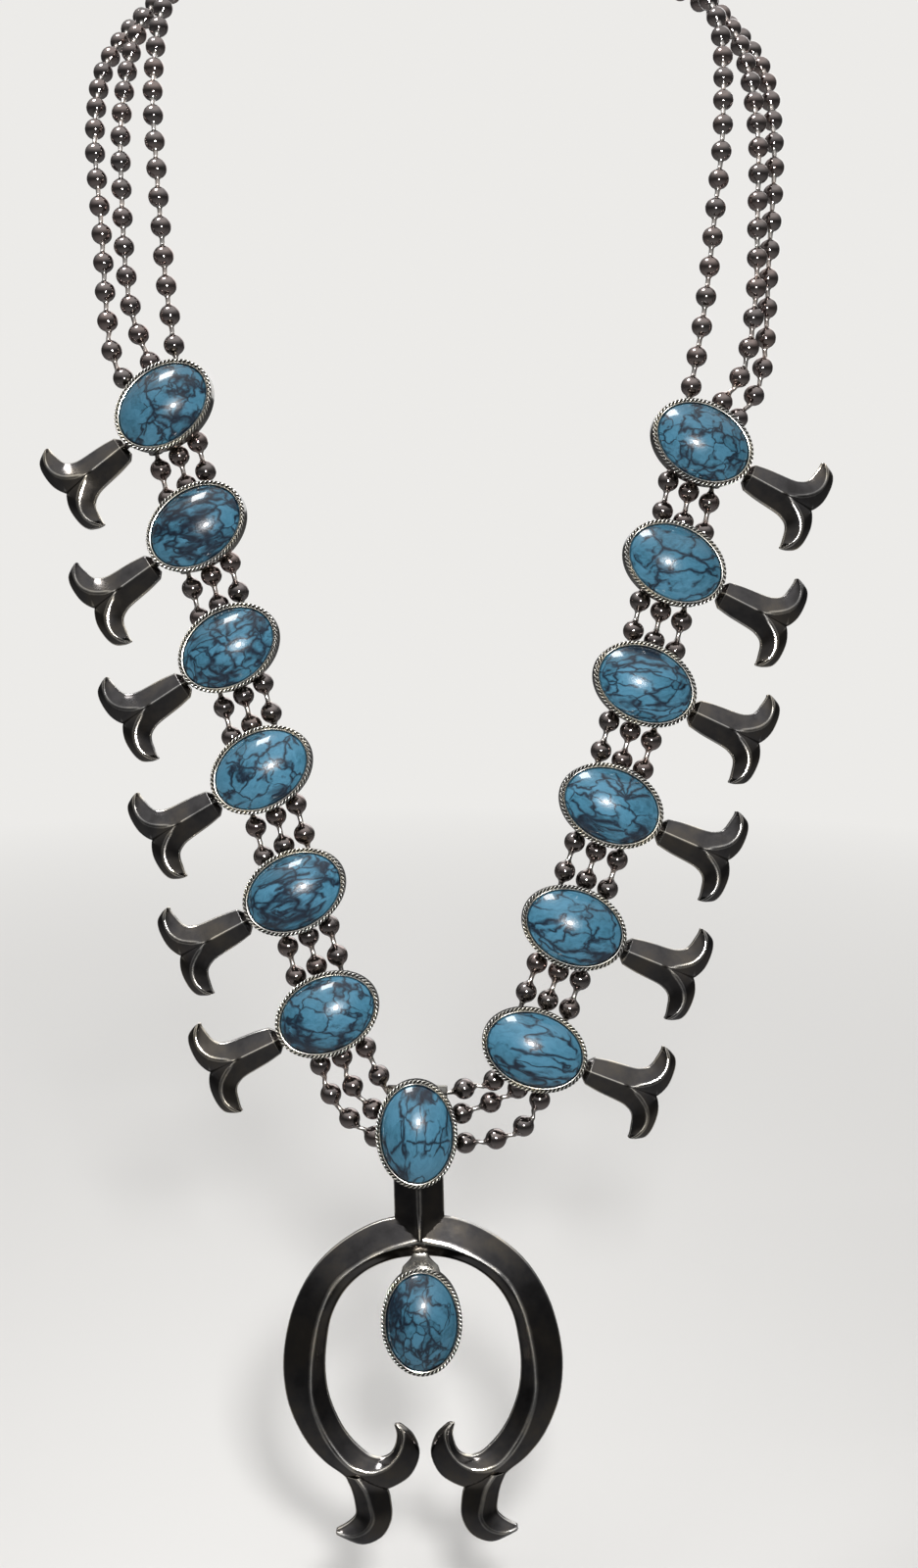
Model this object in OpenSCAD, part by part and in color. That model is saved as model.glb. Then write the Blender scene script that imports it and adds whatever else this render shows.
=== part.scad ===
// Squash blossom necklace in its worn form, in millimetres.
// The origin is at the nape, on the neck's side of the clasp. +X is to the right and -Y is the front,
// as someone facing the wearer sees them, and +Z is up. Left and right are named from there too.

/* [Stones] */
// Length of each cabochon
stone_l = 24; // [22:0.5:25]
// Width of each cabochon
stone_w = 17.5; // [16:0.5:18.5]
// Height of the dome above the rim
stone_dome = 5; // [3.5:0.5:6.5]
// Play between a stone and its cup
stone_play = 0.1; // [0.05:0.05:0.2]

/* [Settings] */
// Width of the rope rim around a stone
rim_w = 1.3; // [1:0.1:1.7]
// Step from the rim's outer edge in to the cup's wall
wall_inset = 0.3; // [0.2:0.1:0.5]
// Depth of the cup behind the rim
cup_depth = 5; // [4:0.5:6]
// Thickness of the cup's floor
cup_floor = 1; // [0.8:0.1:1.4]
// Outer diameter of a threading tube
tube_d = 3.8; // [3.4:0.1:4.4]
// Length of a threading tube
tube_l = 15; // [12:0.5:16]
// Thickness of the plate between a cup's back and its tubes
saddle_t = 1.5; // [1.4:0.1:2]
// Width of that plate
saddle_w = 8; // [6:0.5:9]

/* [Strands] */
// Diameter of a bead
bead_d = 5.3; // [4.8:0.1:5.4]
// Distance from bead to bead along a strand
bead_pitch = 7.7; // [7:0.1:8.4]
// Bore of the beads, tubes and clasp
bore_d = 2.2; // [1.9:0.1:2.4]
// Diameter of the thread through a strand
thread_d = 1.1; // [0.9:0.05:1.2]
// Distance from strand to strand behind a setting
strand_gap = 5.8; // [5.6:0.1:6.2]

/* [Rows] */
// Distance from setting to setting in a row
setting_pitch = 31.1; // [29.5:0.1:33]
// Lean of the left row from upright
row_lean_left = 15.2; // [12:0.2:18]
// Lean of the right row from upright
row_lean_right = 15.6; // [12:0.2:18]
// Outward bow in the middle of the right row
row_bow_right = 2.4; // [0:0.2:4]
// Middle tilt of the left settings, rising to the right
tilt_left = 31.5; // [26:0.5:34]
// Middle tilt of the right settings, falling to the right
tilt_right = 24; // [20:0.5:30]
// Growth of the tilt from each left setting to the next one up
tilt_step_left = 2.2; // [0:0.2:2.4]
// Growth of the tilt from each right setting to the next one up
tilt_step_right = 1.2; // [0:0.2:2.4]

/* [Blossoms] */
// Length of a blossom
blossom_l = 21.3; // [18:0.1:22]
// Width of a blossom from petal tip to petal tip
blossom_w = 24.4; // [20:0.2:25]
// Height of a blossom's ridge above its back
blossom_ridge = 3.6; // [3:0.2:4.6]
// Thickness of a blossom's edge
blossom_edge = 1.5; // [1:0.1:2]
// Distance of a blossom's axis below its setting's long axis
blossom_drop = 0.5; // [0:0.1:1]
// Distance from a setting's wall to its blossom's narrow end
blossom_gap = 1.1; // [0.8:0.1:1.6]
// Diameter of the peg that holds a blossom
peg_d = 1.6; // [1.4:0.1:1.8]
// Length of the peg
peg_l = 3.6; // [3:0.2:4]
// Play around the peg and behind a blossom
peg_play = 0.1; // [0.05:0.05:0.15]
// Wall of the socket around the peg
socket_wall = 0.8; // [0.6:0.1:1]

/* [Pendant] */
// Half width of the crescent
crescent_r = 35; // [32:0.5:37]
// Height of the crescent's ridge above its back
crescent_ridge = 4.4; // [3.6:0.2:5.4]
// Thickness of the crescent's edge
crescent_edge = 1.6; // [1.2:0.1:2.2]
// Width of the neck below the centre stone
neck_w = 12.4; // [11:0.2:14]
// Distance from the centre stone to the crescent's centre
crescent_drop = 59; // [57:0.5:61]
// Distance from the crescent's centre up to the drop stone
drop_rise = 11.7; // [11:0.1:12.5]
// Turn of the whole pendant in its own plane
pendant_turn = 1.4; // [0:0.2:3]

// Distance from the centre stone down to the top of the neck
neck_head = 7; // [6.6:0.2:7.6]
// Play between the neck and the centre setting
neck_play = 0.1; // [0.05:0.05:0.15]
// Diameter of the rivet that holds the neck
rivet_d = 2; // [1.6:0.2:2.4]
// Distance from the centre stone down to the rivet
rivet_at = 9.4; // [9:0.1:10]
// Length of the fan that joins the drop cup to the crescent
fan_l = 4.8; // [4.2:0.2:5.4]
// Width of the fan at the cup
fan_w = 9.6; // [8:0.2:11]
// Width of the fan's tip
fan_tip_w = 4; // [3:0.2:6]
// Thickness of the fan
fan_t = 1.6; // [1:0.1:2]

/* [Wearing] */
// Lean of the front from upright, as it lies on the chest
chest_lean = 12; // [8:1:16]
// Turn of a setting outward for each millimetre from the middle
outward_turn = 0.11; // [0.08:0.01:0.14]

/* [Clasp] */
// Length of the clasp along the strands
clasp_l = 16; // [14:1:20]
// Thickness of the clasp
clasp_t = 4.6; // [4:0.2:6]
// Rounding of the clasp's corners
clasp_round = 1.6; // [1:0.2:2]

/* [Hidden] */
$fn = 48;
OVAL_FN = 120;
HULL_FN = 32;
THREAD_SIDES = 6;
SPAN_STEPS = 12;
SETTINGS = 6;
SOLDER = 0.4;
CUT = 1;
EPS = 0.01;
BEAD_CLEARANCE = 0.2;

// Where the centre stone's middle lies from the nape
centre = [0, -142, -318];
// Feet of the two rows and the centre stone, across and up the chest from the point above
foot_left = [-22.8, 29.2];
foot_right = [28.2, 20.5];
centre_at = [-0.8, 0];
// Heights of the inner, middle and outer strands behind the centre stone
centre_strands = [9, 2.5, -4];

// Few chosen points of each strand's route from the first setting up over the shoulder to the nape
route_left = [
    [[-64, -85, -114], [-67, -75, -84], [-69, -62, -62], [-68, -42, -40], [-60, -20, -22], [-41, -4, -7], [-21, 1, 3]],
    [[-73, -86, -119], [-76, -75, -88], [-77, -61, -67], [-75, -40, -46], [-65, -16, -28], [-44, 1, -13], [-22, 4, -3]],
    [[-77.4, -89.5, -131], [-81, -78, -99], [-84, -64, -74], [-83, -42, -54], [-71, -13, -34], [-47, 6, -19], [-23, 7, -9]]
];
route_right = [
    [[71, -87, -122], [74, -80, -98], [77, -68, -71], [77, -44, -43], [64, -20, -23], [44, -4, -8], [22, 1, 3]],
    [[80.5, -90, -136], [84, -86, -119], [85, -79, -98], [86, -65, -73], [83, -40, -48], [70, -15, -29], [46, 1, -14], [23, 4, -3]],
    [[86, -86, -137], [88.5, -77, -107], [91, -62, -77], [89.4, -38, -54], [76, -11, -35], [49, 6, -20], [24, 7, -9]]
];
// Chosen points of each strand's route from the last settings in to the centre, across and up the chest
low_left = [[], [[-16, 9]], [[-20.5, 5.5]]];
low_right = [[[18.2, 12]], [[22.6, 8.8]], [[24, -0.8]]];

STRANDS = ["inner", "middle", "outer"];
LEFT = -1;
RIGHT = 1;

cup_l = stone_l + 2 * stone_play + 2 * rim_w;
cup_w = stone_w + 2 * stone_play + 2 * rim_w;
wall_w = cup_w - 2 * wall_inset;
wall_l = wall_w * cup_l / cup_w;
tube_z = -cup_depth - saddle_t - tube_d / 2 + SOLDER;
socket_d = peg_d + 2 * peg_play;
peg_z = -cup_depth - socket_wall - socket_d / 2 + SOLDER;
blossom_z = peg_z - peg_d / 2 - SOLDER;
butt_x = wall_l / 2 + peg_play;
naja_z = -cup_depth - neck_play - crescent_ridge;
drop_z = naja_z + cup_depth;
bead_room = bead_d / 2 + BEAD_CLEARANCE;
// The bow of the chest that gives that turn
bow_depth = outward_turn * PI / 360;

// Places on the chest

function tilt(side, i) =
    let (k = (SETTINGS + 1) / 2 - i)
    side == LEFT ? tilt_left + k * tilt_step_left : -tilt_right - k * tilt_step_right;
function row_up(side) = side == LEFT ? [-sin(row_lean_left), cos(row_lean_left)]
                                     : [sin(row_lean_right), cos(row_lean_right)];
function across(angle) = [cos(angle), sin(angle)];
function row_foot(side) = side == LEFT ? foot_left : foot_right;
function row_bow(side, k) = side == LEFT ? 0 : row_bow_right * sin(180 * k / (SETTINGS - 1));
function seat_at(side, i) =
    let (k = SETTINGS - i)
    row_foot(side) + k * setting_pitch * row_up(side) + [row_bow(side, k), 0];

// A point on the chest's surface from its place across and up, and its depth behind the rims
function chest_point(p, depth) =
    let (d = depth + bow_depth * p[0] * p[0])
    centre + [p[0], p[1] * sin(chest_lean) + d * cos(chest_lean), p[1] * cos(chest_lean) - d * sin(chest_lean)];

module on_chest(p, angle) {
    translate(chest_point(p, 0)) rotate([90 - chest_lean, 0, 0])
        rotate([0, outward_turn * p[0], 0]) rotate([0, 0, angle]) children();
}

module oval(l, w) {
    scale([l / w, 1, 1]) children();
}

// Curves

function unit(v) = v / norm(v);
function blend3(a, b, c, d, t) =
    0.5 * ((2 * b) + (c - a) * t + (2 * a - 5 * b + 4 * c - d) * t * t + (3 * b - a - 3 * c + d) * t * t * t);
function at_end(p, i) = p[min(max(i, 0), len(p) - 1)];
function curve(p, steps) = concat(
    [for (i = [0:len(p) - 2]) for (j = [0:steps - 1])
        blend3(at_end(p, i - 1), p[i], p[i + 1], at_end(p, i + 2), j / steps)],
    [p[len(p) - 1]]
);
function lengths(q) = [for (i = 0, s = 0; i < len(q); s = s + (i + 1 < len(q) ? norm(q[i + 1] - q[i]) : 0), i = i + 1) s];
function at_length(q, s, d) =
    let (i = min(len([for (v = s) if (v <= d) v]), len(q) - 1))
    q[i - 1] + (q[i] - q[i - 1]) * (d - s[i - 1]) / (s[i] - s[i - 1]);

// Bead centres along a span, as many as fit between two mouths, centred in it
function span_beads(p) =
    let (q = curve(p, SPAN_STEPS), s = lengths(q), whole = s[len(s) - 1])
    let (n = floor((whole - 2 * bead_room) / bead_pitch) + 1, first = (whole - (n - 1) * bead_pitch) / 2)
    [for (k = [0:n - 1]) at_length(q, s, first + k * bead_pitch)];

// The strands, each a list of points that are either beads or the mouths of a tube

function inward(side, i) = -side * across(tilt(side, i));
function strand_offset(strand) = (1 - strand) * strand_gap;
function tube_middle(side, i, strand) = seat_at(side, i) + strand_offset(strand) * inward(side, i);
function tube_mouth(side, i, strand, up) =
    chest_point(tube_middle(side, i, strand) + up * tube_l / 2 * row_up(side), -tube_z);
function centre_mouth(side, strand) =
    chest_point(centre_at + [side * tube_l / 2, centre_strands[strand]], -tube_z);
function clasp_mouth(side, strand) = [side * clasp_l / 2, clasp_t / 2, strand_offset(strand)];
function low_points(side, strand) =
    [for (p = side == LEFT ? low_left[strand] : low_right[strand]) chest_point(p, -tube_z)];
function high_points(side, strand) = side == LEFT ? route_left[strand] : route_right[strand];

// Every span of beads on one side, from the nape down to the centre
function spans(side, strand) = concat(
    [reverse(concat([tube_mouth(side, 1, strand, 1)], high_points(side, strand), [clasp_mouth(side, strand)]))],
    [for (i = [1:SETTINGS - 1]) [tube_mouth(side, i, strand, -1), tube_mouth(side, i + 1, strand, 1)]],
    [concat([tube_mouth(side, SETTINGS, strand, -1)], low_points(side, strand), [centre_mouth(side, strand)])]
);
function reverse(list) = [for (i = [len(list) - 1:-1:0]) list[i]];
function side_path(side, strand) = [for (p = spans(side, strand)) each concat([p[0]], span_beads(p), [p[len(p) - 1]])];
function side_beads(side, strand) = [for (p = spans(side, strand)) each span_beads(p)];

// The whole thread: from inside the clasp, down one side, through the centre and up the other side
function thread_path(strand) = concat(
    [clasp_mouth(LEFT, strand) + [clasp_l / 4, 0, 0]],
    side_path(LEFT, strand),
    reverse(side_path(RIGHT, strand)),
    [clasp_mouth(RIGHT, strand) - [clasp_l / 4, 0, 0]]
);

// Settings

// Columns: distance in from the rim's outer edge, then height, both as shares of the rim's width
rim_profile = [[0.08, -0.85], [0, -0.5], [0, -0.1], [0.25, 0.3], [0.6, 0.4]];
cup_top = 0.4 * rim_w;

module cup() {
    oval(cup_l, cup_w)
        rotate_extrude($fn = OVAL_FN) polygon(concat(
            [[0, -cup_depth], [wall_w / 2, -cup_depth], [wall_w / 2, -rim_w]],
            [for (p = rim_profile) [cup_w / 2 - p[0] * rim_w, p[1] * rim_w]],
            [[0, cup_top]]
        ));
}

module pocket() {
    translate([0, 0, cup_floor - cup_depth])
        oval(stone_l + 2 * stone_play, stone_w + 2 * stone_play)
            cylinder(d = stone_w + 2 * stone_play, h = cup_depth + cup_top, $fn = OVAL_FN);
}

module tube_at(p, angle, d, l) {
    translate([p[0], p[1], tube_z]) rotate([0, 0, angle]) rotate([90, 0, 0]) cylinder(d = d, h = l, center = true);
}

// The plate that the tubes are soldered to, behind a cup
module saddle(low, high) {
    translate([low, -saddle_w / 2, -cup_depth - saddle_t])
        cube([high - low, saddle_w, saddle_t + SOLDER]);
}

module open_cup() {
    difference() {
        cup();
        pocket();
    }
}

// The turn of a setting's tubes, along the row, from its own long axis along x
function tube_turn(side, i) = atan2(row_up(side)[1], row_up(side)[0]) - 90 - tilt(side, i);
// The step that brings the tubes of an outward turned setting in line with the strands
function tube_step(side, i) =
    let (a = tilt(side, i))
    -tube_z * sin(outward_turn * seat_at(side, i)[0]) * [cos(a), -sin(a)];

module setting(side, i) {
    socket_l = peg_l + peg_play;
    color("silver") difference() {
        union() {
            open_cup();
            saddle(-strand_gap - tube_d / 2, strand_gap + tube_d / 2);
            for (s = [-1:1])
                tube_at([s * strand_gap, 0] + tube_step(side, i), tube_turn(side, i), tube_d, tube_l);
            translate([side * (butt_x - (socket_l + rim_w) / 2), -blossom_drop, peg_z])
                cube([socket_l - rim_w, socket_d + 2 * socket_wall, socket_d + 2 * socket_wall], center = true);
        }
        for (s = [-1:1])
            tube_at([s * strand_gap, 0] + tube_step(side, i), tube_turn(side, i), bore_d, tube_l + 2 * CUT);
        translate([side * (butt_x + CUT), -blossom_drop, peg_z])
            rotate([0, -side * 90, 0]) cylinder(d = socket_d, h = socket_l + CUT);
    }
}

module centre_setting() {
    color("silver") difference() {
        union() {
            rotate([0, 0, 90]) open_cup();
            rotate([0, 0, 90]) saddle(centre_strands[2] - tube_d / 2, centre_strands[0] + tube_d / 2);
            for (s = centre_strands)
                tube_at([0, s], 90, tube_d, tube_l);
            translate([0, -rivet_at, naja_z]) cylinder(d = rivet_d, h = crescent_ridge + neck_play + SOLDER);
        }
        for (s = centre_strands)
            tube_at([0, s], 90, bore_d, tube_l + 2 * CUT);
    }
}

// The radius of a dome over a chord
function dome_r(chord) = (pow(chord / 2, 2) + pow(stone_dome, 2)) / (2 * stone_dome);

module stone() {
    across_r = dome_r(stone_w);
    along_r = dome_r(stone_l);
    color("steelblue") intersection() {
        translate([0, 0, cup_floor - cup_depth + stone_play])
            linear_extrude(cup_depth + stone_dome)
                scale([stone_l / stone_w, 1]) circle(d = stone_w, $fn = OVAL_FN);
        translate([0, 0, stone_dome - along_r]) rotate([90, 0, 0])
            rotate_extrude($fn = OVAL_FN) intersection() {
                translate([along_r - across_r, 0]) circle(r = across_r, $fn = OVAL_FN);
                translate([0, -across_r]) square([along_r + across_r, 2 * across_r]);
            }
    }
}

// Ridged castings, made of triangles between rows of points

module facets(triangles) {
    polyhedron(
        points = [for (t = triangles) for (p = t) p],
        faces = [for (i = [0:len(triangles) - 1]) [3 * i, 3 * i + 2, 3 * i + 1]]
    );
}

function quad(a, b, c, d) = [[a, b, c], [a, c, d]];
function lift(p, z) = [p[0], p[1], z];
function flip(triangles) = [for (t = triangles) [for (k = [2:-1:0]) [t[k][0], -t[k][1], t[k][2]]]];

// Rows of a strip: [outer edge, ridge, inner edge, height of the edges, height of the ridge]
function strip(rows) = let (n = len(rows) - 1, a = rows[0], b = rows[n]) concat(
    [for (i = [0:n - 1]) let (r = rows[i], s = rows[i + 1]) each concat(
        quad(lift(r[0], r[3]), lift(r[1], r[4]), lift(s[1], s[4]), lift(s[0], s[3])),
        quad(lift(r[1], r[4]), lift(r[2], r[3]), lift(s[2], s[3]), lift(s[1], s[4])),
        quad(lift(r[2], r[3]), lift(r[2], 0), lift(s[2], 0), lift(s[2], s[3])),
        quad(lift(r[2], 0), lift(r[0], 0), lift(s[0], 0), lift(s[2], 0)),
        quad(lift(r[0], 0), lift(r[0], r[3]), lift(s[0], s[3]), lift(s[0], 0))
    )],
    end_cap(b),
    [for (t = end_cap(a)) [t[2], t[1], t[0]]]
);
function end_cap(r) = [
    [lift(r[0], 0), lift(r[0], r[3]), lift(r[1], r[4])],
    [lift(r[0], 0), lift(r[1], r[4]), lift(r[2], 0)],
    [lift(r[2], 0), lift(r[1], r[4]), lift(r[2], r[3])]
];

// Blossom

// Columns: outer edge, ridge and inner edge, each as shares of the length along and the half width
// across, then the ridge's height as a share of its full height
petal_rows = [
    [[0.00, 0.18], [0.00, 0.00], [0.00, 0.00], 0.50],
    [[0.06, 0.285], [0.05, 0.00], [0.05, 0.00], 0.96],
    [[0.25, 0.345], [0.25, 0.00], [0.25, 0.00], 1.00],
    [[0.52, 0.385], [0.53, 0.00], [0.53, 0.00], 1.00],
    [[0.62, 0.43], [0.66, 0.085], [0.68, 0.00], 0.98],
    [[0.69, 0.505], [0.765, 0.20], [0.80, 0.00], 0.95],
    [[0.725, 0.61], [0.835, 0.32], [0.90, 0.00], 0.92],
    [[0.742, 0.74], [0.88, 0.475], [0.985, 0.27], 0.86],
    [[0.755, 0.85], [0.888, 0.66], [0.995, 0.62], 0.78],
    [[0.76, 0.93], [0.855, 0.83], [0.955, 0.85], 0.66],
    [[0.757, 0.985], [0.80, 0.965], [0.865, 0.965], 0.46]
];
// The last row whose ridge lies on the axis, and the last whose inner edge does, between the petals
FORK = 3;
CROTCH = 6;

function petal_point(p) = [p[0] * blossom_l, p[1] * blossom_w / 2];
function petal_ridge(row) = blossom_edge + row[3] * (blossom_ridge - blossom_edge);
function valley(i) = i <= FORK ? petal_ridge(petal_rows[i]) : blossom_edge;

function half_blossom() = let (n = len(petal_rows) - 1) concat(
    [for (i = [0:n - 1])
        let (r = petal_rows[i], s = petal_rows[i + 1], hr = petal_ridge(r), hs = petal_ridge(s))
        let (ro = petal_point(r[0]), rm = petal_point(r[1]), ri = petal_point(r[2]))
        let (so = petal_point(s[0]), sm = petal_point(s[1]), si = petal_point(s[2]))
        each concat(
            quad(lift(ro, blossom_edge), lift(rm, hr), lift(sm, hs), lift(so, blossom_edge)),
            i < FORK ? [] : i == FORK ? [[lift(rm, hr), lift(si, valley(i + 1)), lift(sm, hs)]]
                : quad(lift(rm, hr), lift(ri, valley(i)), lift(si, valley(i + 1)), lift(sm, hs)),
            quad(lift(ri, 0), lift(ro, 0), lift(so, 0), lift(si, 0)),
            quad(lift(ro, 0), lift(ro, blossom_edge), lift(so, blossom_edge), lift(so, 0)),
            i < CROTCH ? [] : quad(lift(ri, blossom_edge), lift(ri, 0), lift(si, 0), lift(si, blossom_edge))
        )],
    let (e = petal_rows[n], z = petal_ridge(e))
        end_cap([petal_point(e[0]), petal_point(e[1]), petal_point(e[2]), blossom_edge, z]),
    let (b = petal_rows[0], w = petal_point(b[0]), z = petal_ridge(b)) [
        [lift([0, 0], 0), [0, 0, z], lift(w, 0)],
        [lift(w, 0), [0, 0, z], lift(w, blossom_edge)]
    ]
);

module blossom(side) {
    color("dimgray") translate([side * (butt_x + blossom_gap), -blossom_drop, 0]) {
        rotate([0, 0, side == LEFT ? 180 : 0]) translate([0, 0, blossom_z])
            facets(concat(half_blossom(), flip(half_blossom())));
        translate([side * SOLDER, 0, peg_z])
            rotate([0, -side * 90, 0]) cylinder(d = peg_d, h = peg_l + blossom_gap + SOLDER);
    }
}

// Pendant

// Columns: angle from the top, then radius of the outer edge, ridge and inner edge as shares of the
// crescent's half width, then height of the edges and ridge as shares of theirs
arm_rows = [
    [0, 1.08, 0.905, 0.785, 1, 1],
    [15, 1.075, 0.875, 0.785, 1, 1],
    [30, 1.06, 0.865, 0.785, 1, 1],
    [45, 1.045, 0.86, 0.77, 1, 1],
    [60, 1.02, 0.82, 0.74, 1, 1],
    [75, 1, 0.79, 0.705, 1, 1],
    [90, 0.995, 0.79, 0.695, 1, 1],
    [105, 0.995, 0.815, 0.70, 1, 1],
    [120, 0.99, 0.835, 0.71, 1, 1],
    [132, 0.98, 0.855, 0.725, 1, 1],
    [142, 0.965, 0.87, 0.735, 1, 0.98]
];
// Columns: outer edge, ridge and inner edge of the curl at an arm's end as shares of the crescent's
// half width, across and up from the crescent's centre, then the two heights as above
curl_rows = [
    [[0.47, -0.87], [0.44, -0.725], [0.385, -0.63], 1, 0.96],
    [[0.34, -0.885], [0.34, -0.722], [0.31, -0.645], 1, 0.94],
    [[0.215, -0.85], [0.245, -0.675], [0.25, -0.62], 1, 0.90],
    [[0.10, -0.77], [0.175, -0.59], [0.215, -0.565], 1, 0.84],
    [[0.04, -0.63], [0.148, -0.50], [0.20, -0.49], 1, 0.74],
    [[0.075, -0.50], [0.155, -0.445], [0.21, -0.435], 1, 0.60],
    [[0.165, -0.415], [0.19, -0.412], [0.225, -0.418], 1, 0.40]
];
// Columns of the foot's rows as for the curl
foot_rows = [
    [[0.575, -0.77], [0.49, -0.77], [0.38, -0.77], 1, 0.88],
    [[0.535, -0.86], [0.43, -0.86], [0.28, -0.86], 1, 0.92],
    [[0.512, -0.95], [0.40, -0.955], [0.25, -0.96], 1, 0.90],
    [[0.505, -1.04], [0.385, -1.065], [0.25, -1.09], 1, 0.86],
    [[0.545, -1.09], [0.44, -1.15], [0.32, -1.21], 1, 0.76],
    [[0.595, -1.122], [0.54, -1.185], [0.46, -1.262], 1, 0.58],
    [[0.64, -1.145], [0.645, -1.165], [0.63, -1.19], 1, 0.36]
];

function radial(angle, share) = crescent_r * share * [sin(angle), cos(angle)];
function edge_h(share) = crescent_edge * share;
function ridge_h(share) = crescent_edge + (crescent_ridge - crescent_edge) * share;
function arm_strip() = [for (r = arm_rows)
    [radial(r[0], r[1]), radial(r[0], r[2]), radial(r[0], r[3]), edge_h(r[4]), ridge_h(r[5])]];
function shaped(rows) = [for (r = rows)
    [crescent_r * r[0], crescent_r * r[1], crescent_r * r[2], edge_h(r[3]), ridge_h(r[4])]];
function smooth_rows(rows, steps) = let (
    a = curve([for (r = rows) r[0]], steps), b = curve([for (r = rows) r[1]], steps),
    c = curve([for (r = rows) r[2]], steps), d = curve([for (r = rows) [r[3], r[4]]], steps))
    [for (i = [0:len(a) - 1]) [a[i], b[i], c[i], d[i][0], d[i][1]]];
function mirrored(rows) = [for (i = [len(rows) - 1:-1:1]) let (r = rows[i])
    [[-r[0][0], r[0][1]], [-r[1][0], r[1][1]], [-r[2][0], r[2][1]], r[3], r[4]]];

ROW_STEPS = 3;
neck_foot = crescent_drop - crescent_r * arm_rows[0][2];

module naja() {
    arms = smooth_rows(concat(arm_strip(), shaped(curl_rows)), ROW_STEPS);
    foot = smooth_rows(shaped(foot_rows), ROW_STEPS);
    neck = [for (y = [-neck_foot, -neck_head])
        [[-neck_w / 2, y], [0, y], [neck_w / 2, y], crescent_edge, crescent_ridge]];
    color("dimgray") translate([0, 0, naja_z]) difference() {
        union() {
            translate([0, -crescent_drop, 0]) {
                facets(strip(concat(mirrored(arms), arms)));
                facets(strip(foot));
                mirror([1, 0, 0]) facets(strip(foot));
            }
            facets(strip(neck));
        }
        translate([0, -rivet_at, -CUT]) cylinder(d = rivet_d + 2 * neck_play, h = crescent_ridge + 2 * CUT);
    }
    color("silver") translate([0, drop_rise - crescent_drop, drop_z]) {
        rotate([0, 0, 90]) open_cup();
        translate([0, cup_l / 2 - rim_w, fan_t - cup_depth])
            linear_extrude(fan_t)
                polygon([[-fan_w / 2, 0], [fan_w / 2, 0], [fan_tip_w / 2, fan_l], [-fan_tip_w / 2, fan_l]]);
    }
}

// Strands

module beads(strand) {
    path = thread_path(strand);
    spots = concat(side_beads(LEFT, strand), side_beads(RIGHT, strand));
    color("gray") for (p = spots) {
        at = [for (i = [1:len(path) - 2]) if (norm(path[i] - p) < EPS) i][0];
        drilled_bead(p, unit(path[at + 1] - path[at - 1]));
    }
}

module drilled_bead(p, way) {
    translate(p) rotate([0, acos(way[2]), atan2(way[1], way[0])]) difference() {
        sphere(d = bead_d);
        cylinder(d = bore_d, h = bead_d + 2 * CUT, center = true);
    }
}

function ring(p, way, side_way) = let (other = cross(way, side_way))
    [for (k = [0:THREAD_SIDES - 1]) let (a = 360 * k / THREAD_SIDES)
        p + thread_d / 2 * (cos(a) * side_way + sin(a) * other)];
function squared(v, way) = unit(v - (v * way) * way);

module thread(strand) {
    path = thread_path(strand);
    n = len(path) - 1;
    ways = [for (i = [0:n]) unit(path[min(i + 1, n)] - path[max(i - 1, 0)])];
    side_ways = [for (i = 0, v = squared([0, 0, 1], ways[0]); i <= n;
        v = i < n ? squared(v, ways[i + 1]) : v, i = i + 1) v];
    rings = [for (i = [0:n]) ring(path[i], ways[i], side_ways[i])];
    m = THREAD_SIDES;
    color("gray") polyhedron(
        points = [for (r = rings) each r],
        faces = concat(
            [[for (k = [0:m - 1]) k]],
            [for (i = [0:n - 1]) for (k = [0:m - 1]) each
                [[i * m + k, (i + 1) * m + k, i * m + (k + 1) % m],
                 [(i + 1) * m + k, (i + 1) * m + (k + 1) % m, i * m + (k + 1) % m]]],
            [[for (k = [m - 1:-1:0]) n * m + k]]
        )
    );
}

module clasp() {
    clasp_h = 2 * strand_gap + clasp_t;
    color("silver") difference() {
        hull() for (x = [-1, 1]) for (z = [-1, 1])
            translate([x * (clasp_l / 2 - clasp_round), clasp_t / 2, z * (clasp_h / 2 - clasp_round)])
                rotate([90, 0, 0]) cylinder(r = clasp_round, h = clasp_t, center = true, $fn = HULL_FN);
        for (s = [0:2])
            translate([0, clasp_t / 2, strand_offset(s)])
                rotate([0, 90, 0]) cylinder(d = bore_d, h = clasp_l + 2 * CUT, center = true);
    }
}

for (i = [1:SETTINGS]) {
    on_chest(seat_at(LEFT, i), tilt(LEFT, i)) setting(LEFT, i);
    on_chest(seat_at(RIGHT, i), tilt(RIGHT, i)) setting(RIGHT, i);
    on_chest(seat_at(LEFT, i), tilt(LEFT, i)) stone();
    on_chest(seat_at(RIGHT, i), tilt(RIGHT, i)) stone();
    on_chest(seat_at(LEFT, i), tilt(LEFT, i)) blossom(LEFT);
    on_chest(seat_at(RIGHT, i), tilt(RIGHT, i)) blossom(RIGHT);
}
on_chest(centre_at, pendant_turn) centre_setting();
on_chest(centre_at, pendant_turn + 90) stone();  // centre_stone
on_chest(centre_at, pendant_turn) naja();
on_chest(centre_at, pendant_turn) translate([0, drop_rise - crescent_drop, drop_z]) rotate([0, 0, 90]) stone();  // drop_stone
for (s = [0:2]) {
    beads(s);
    thread(s);
}
clasp();
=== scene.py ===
"""Looks of the squash blossom necklace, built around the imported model. Lengths are in metres."""

import math

import bmesh
import bpy
import numpy as np
from mathutils import Matrix, Vector


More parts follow.
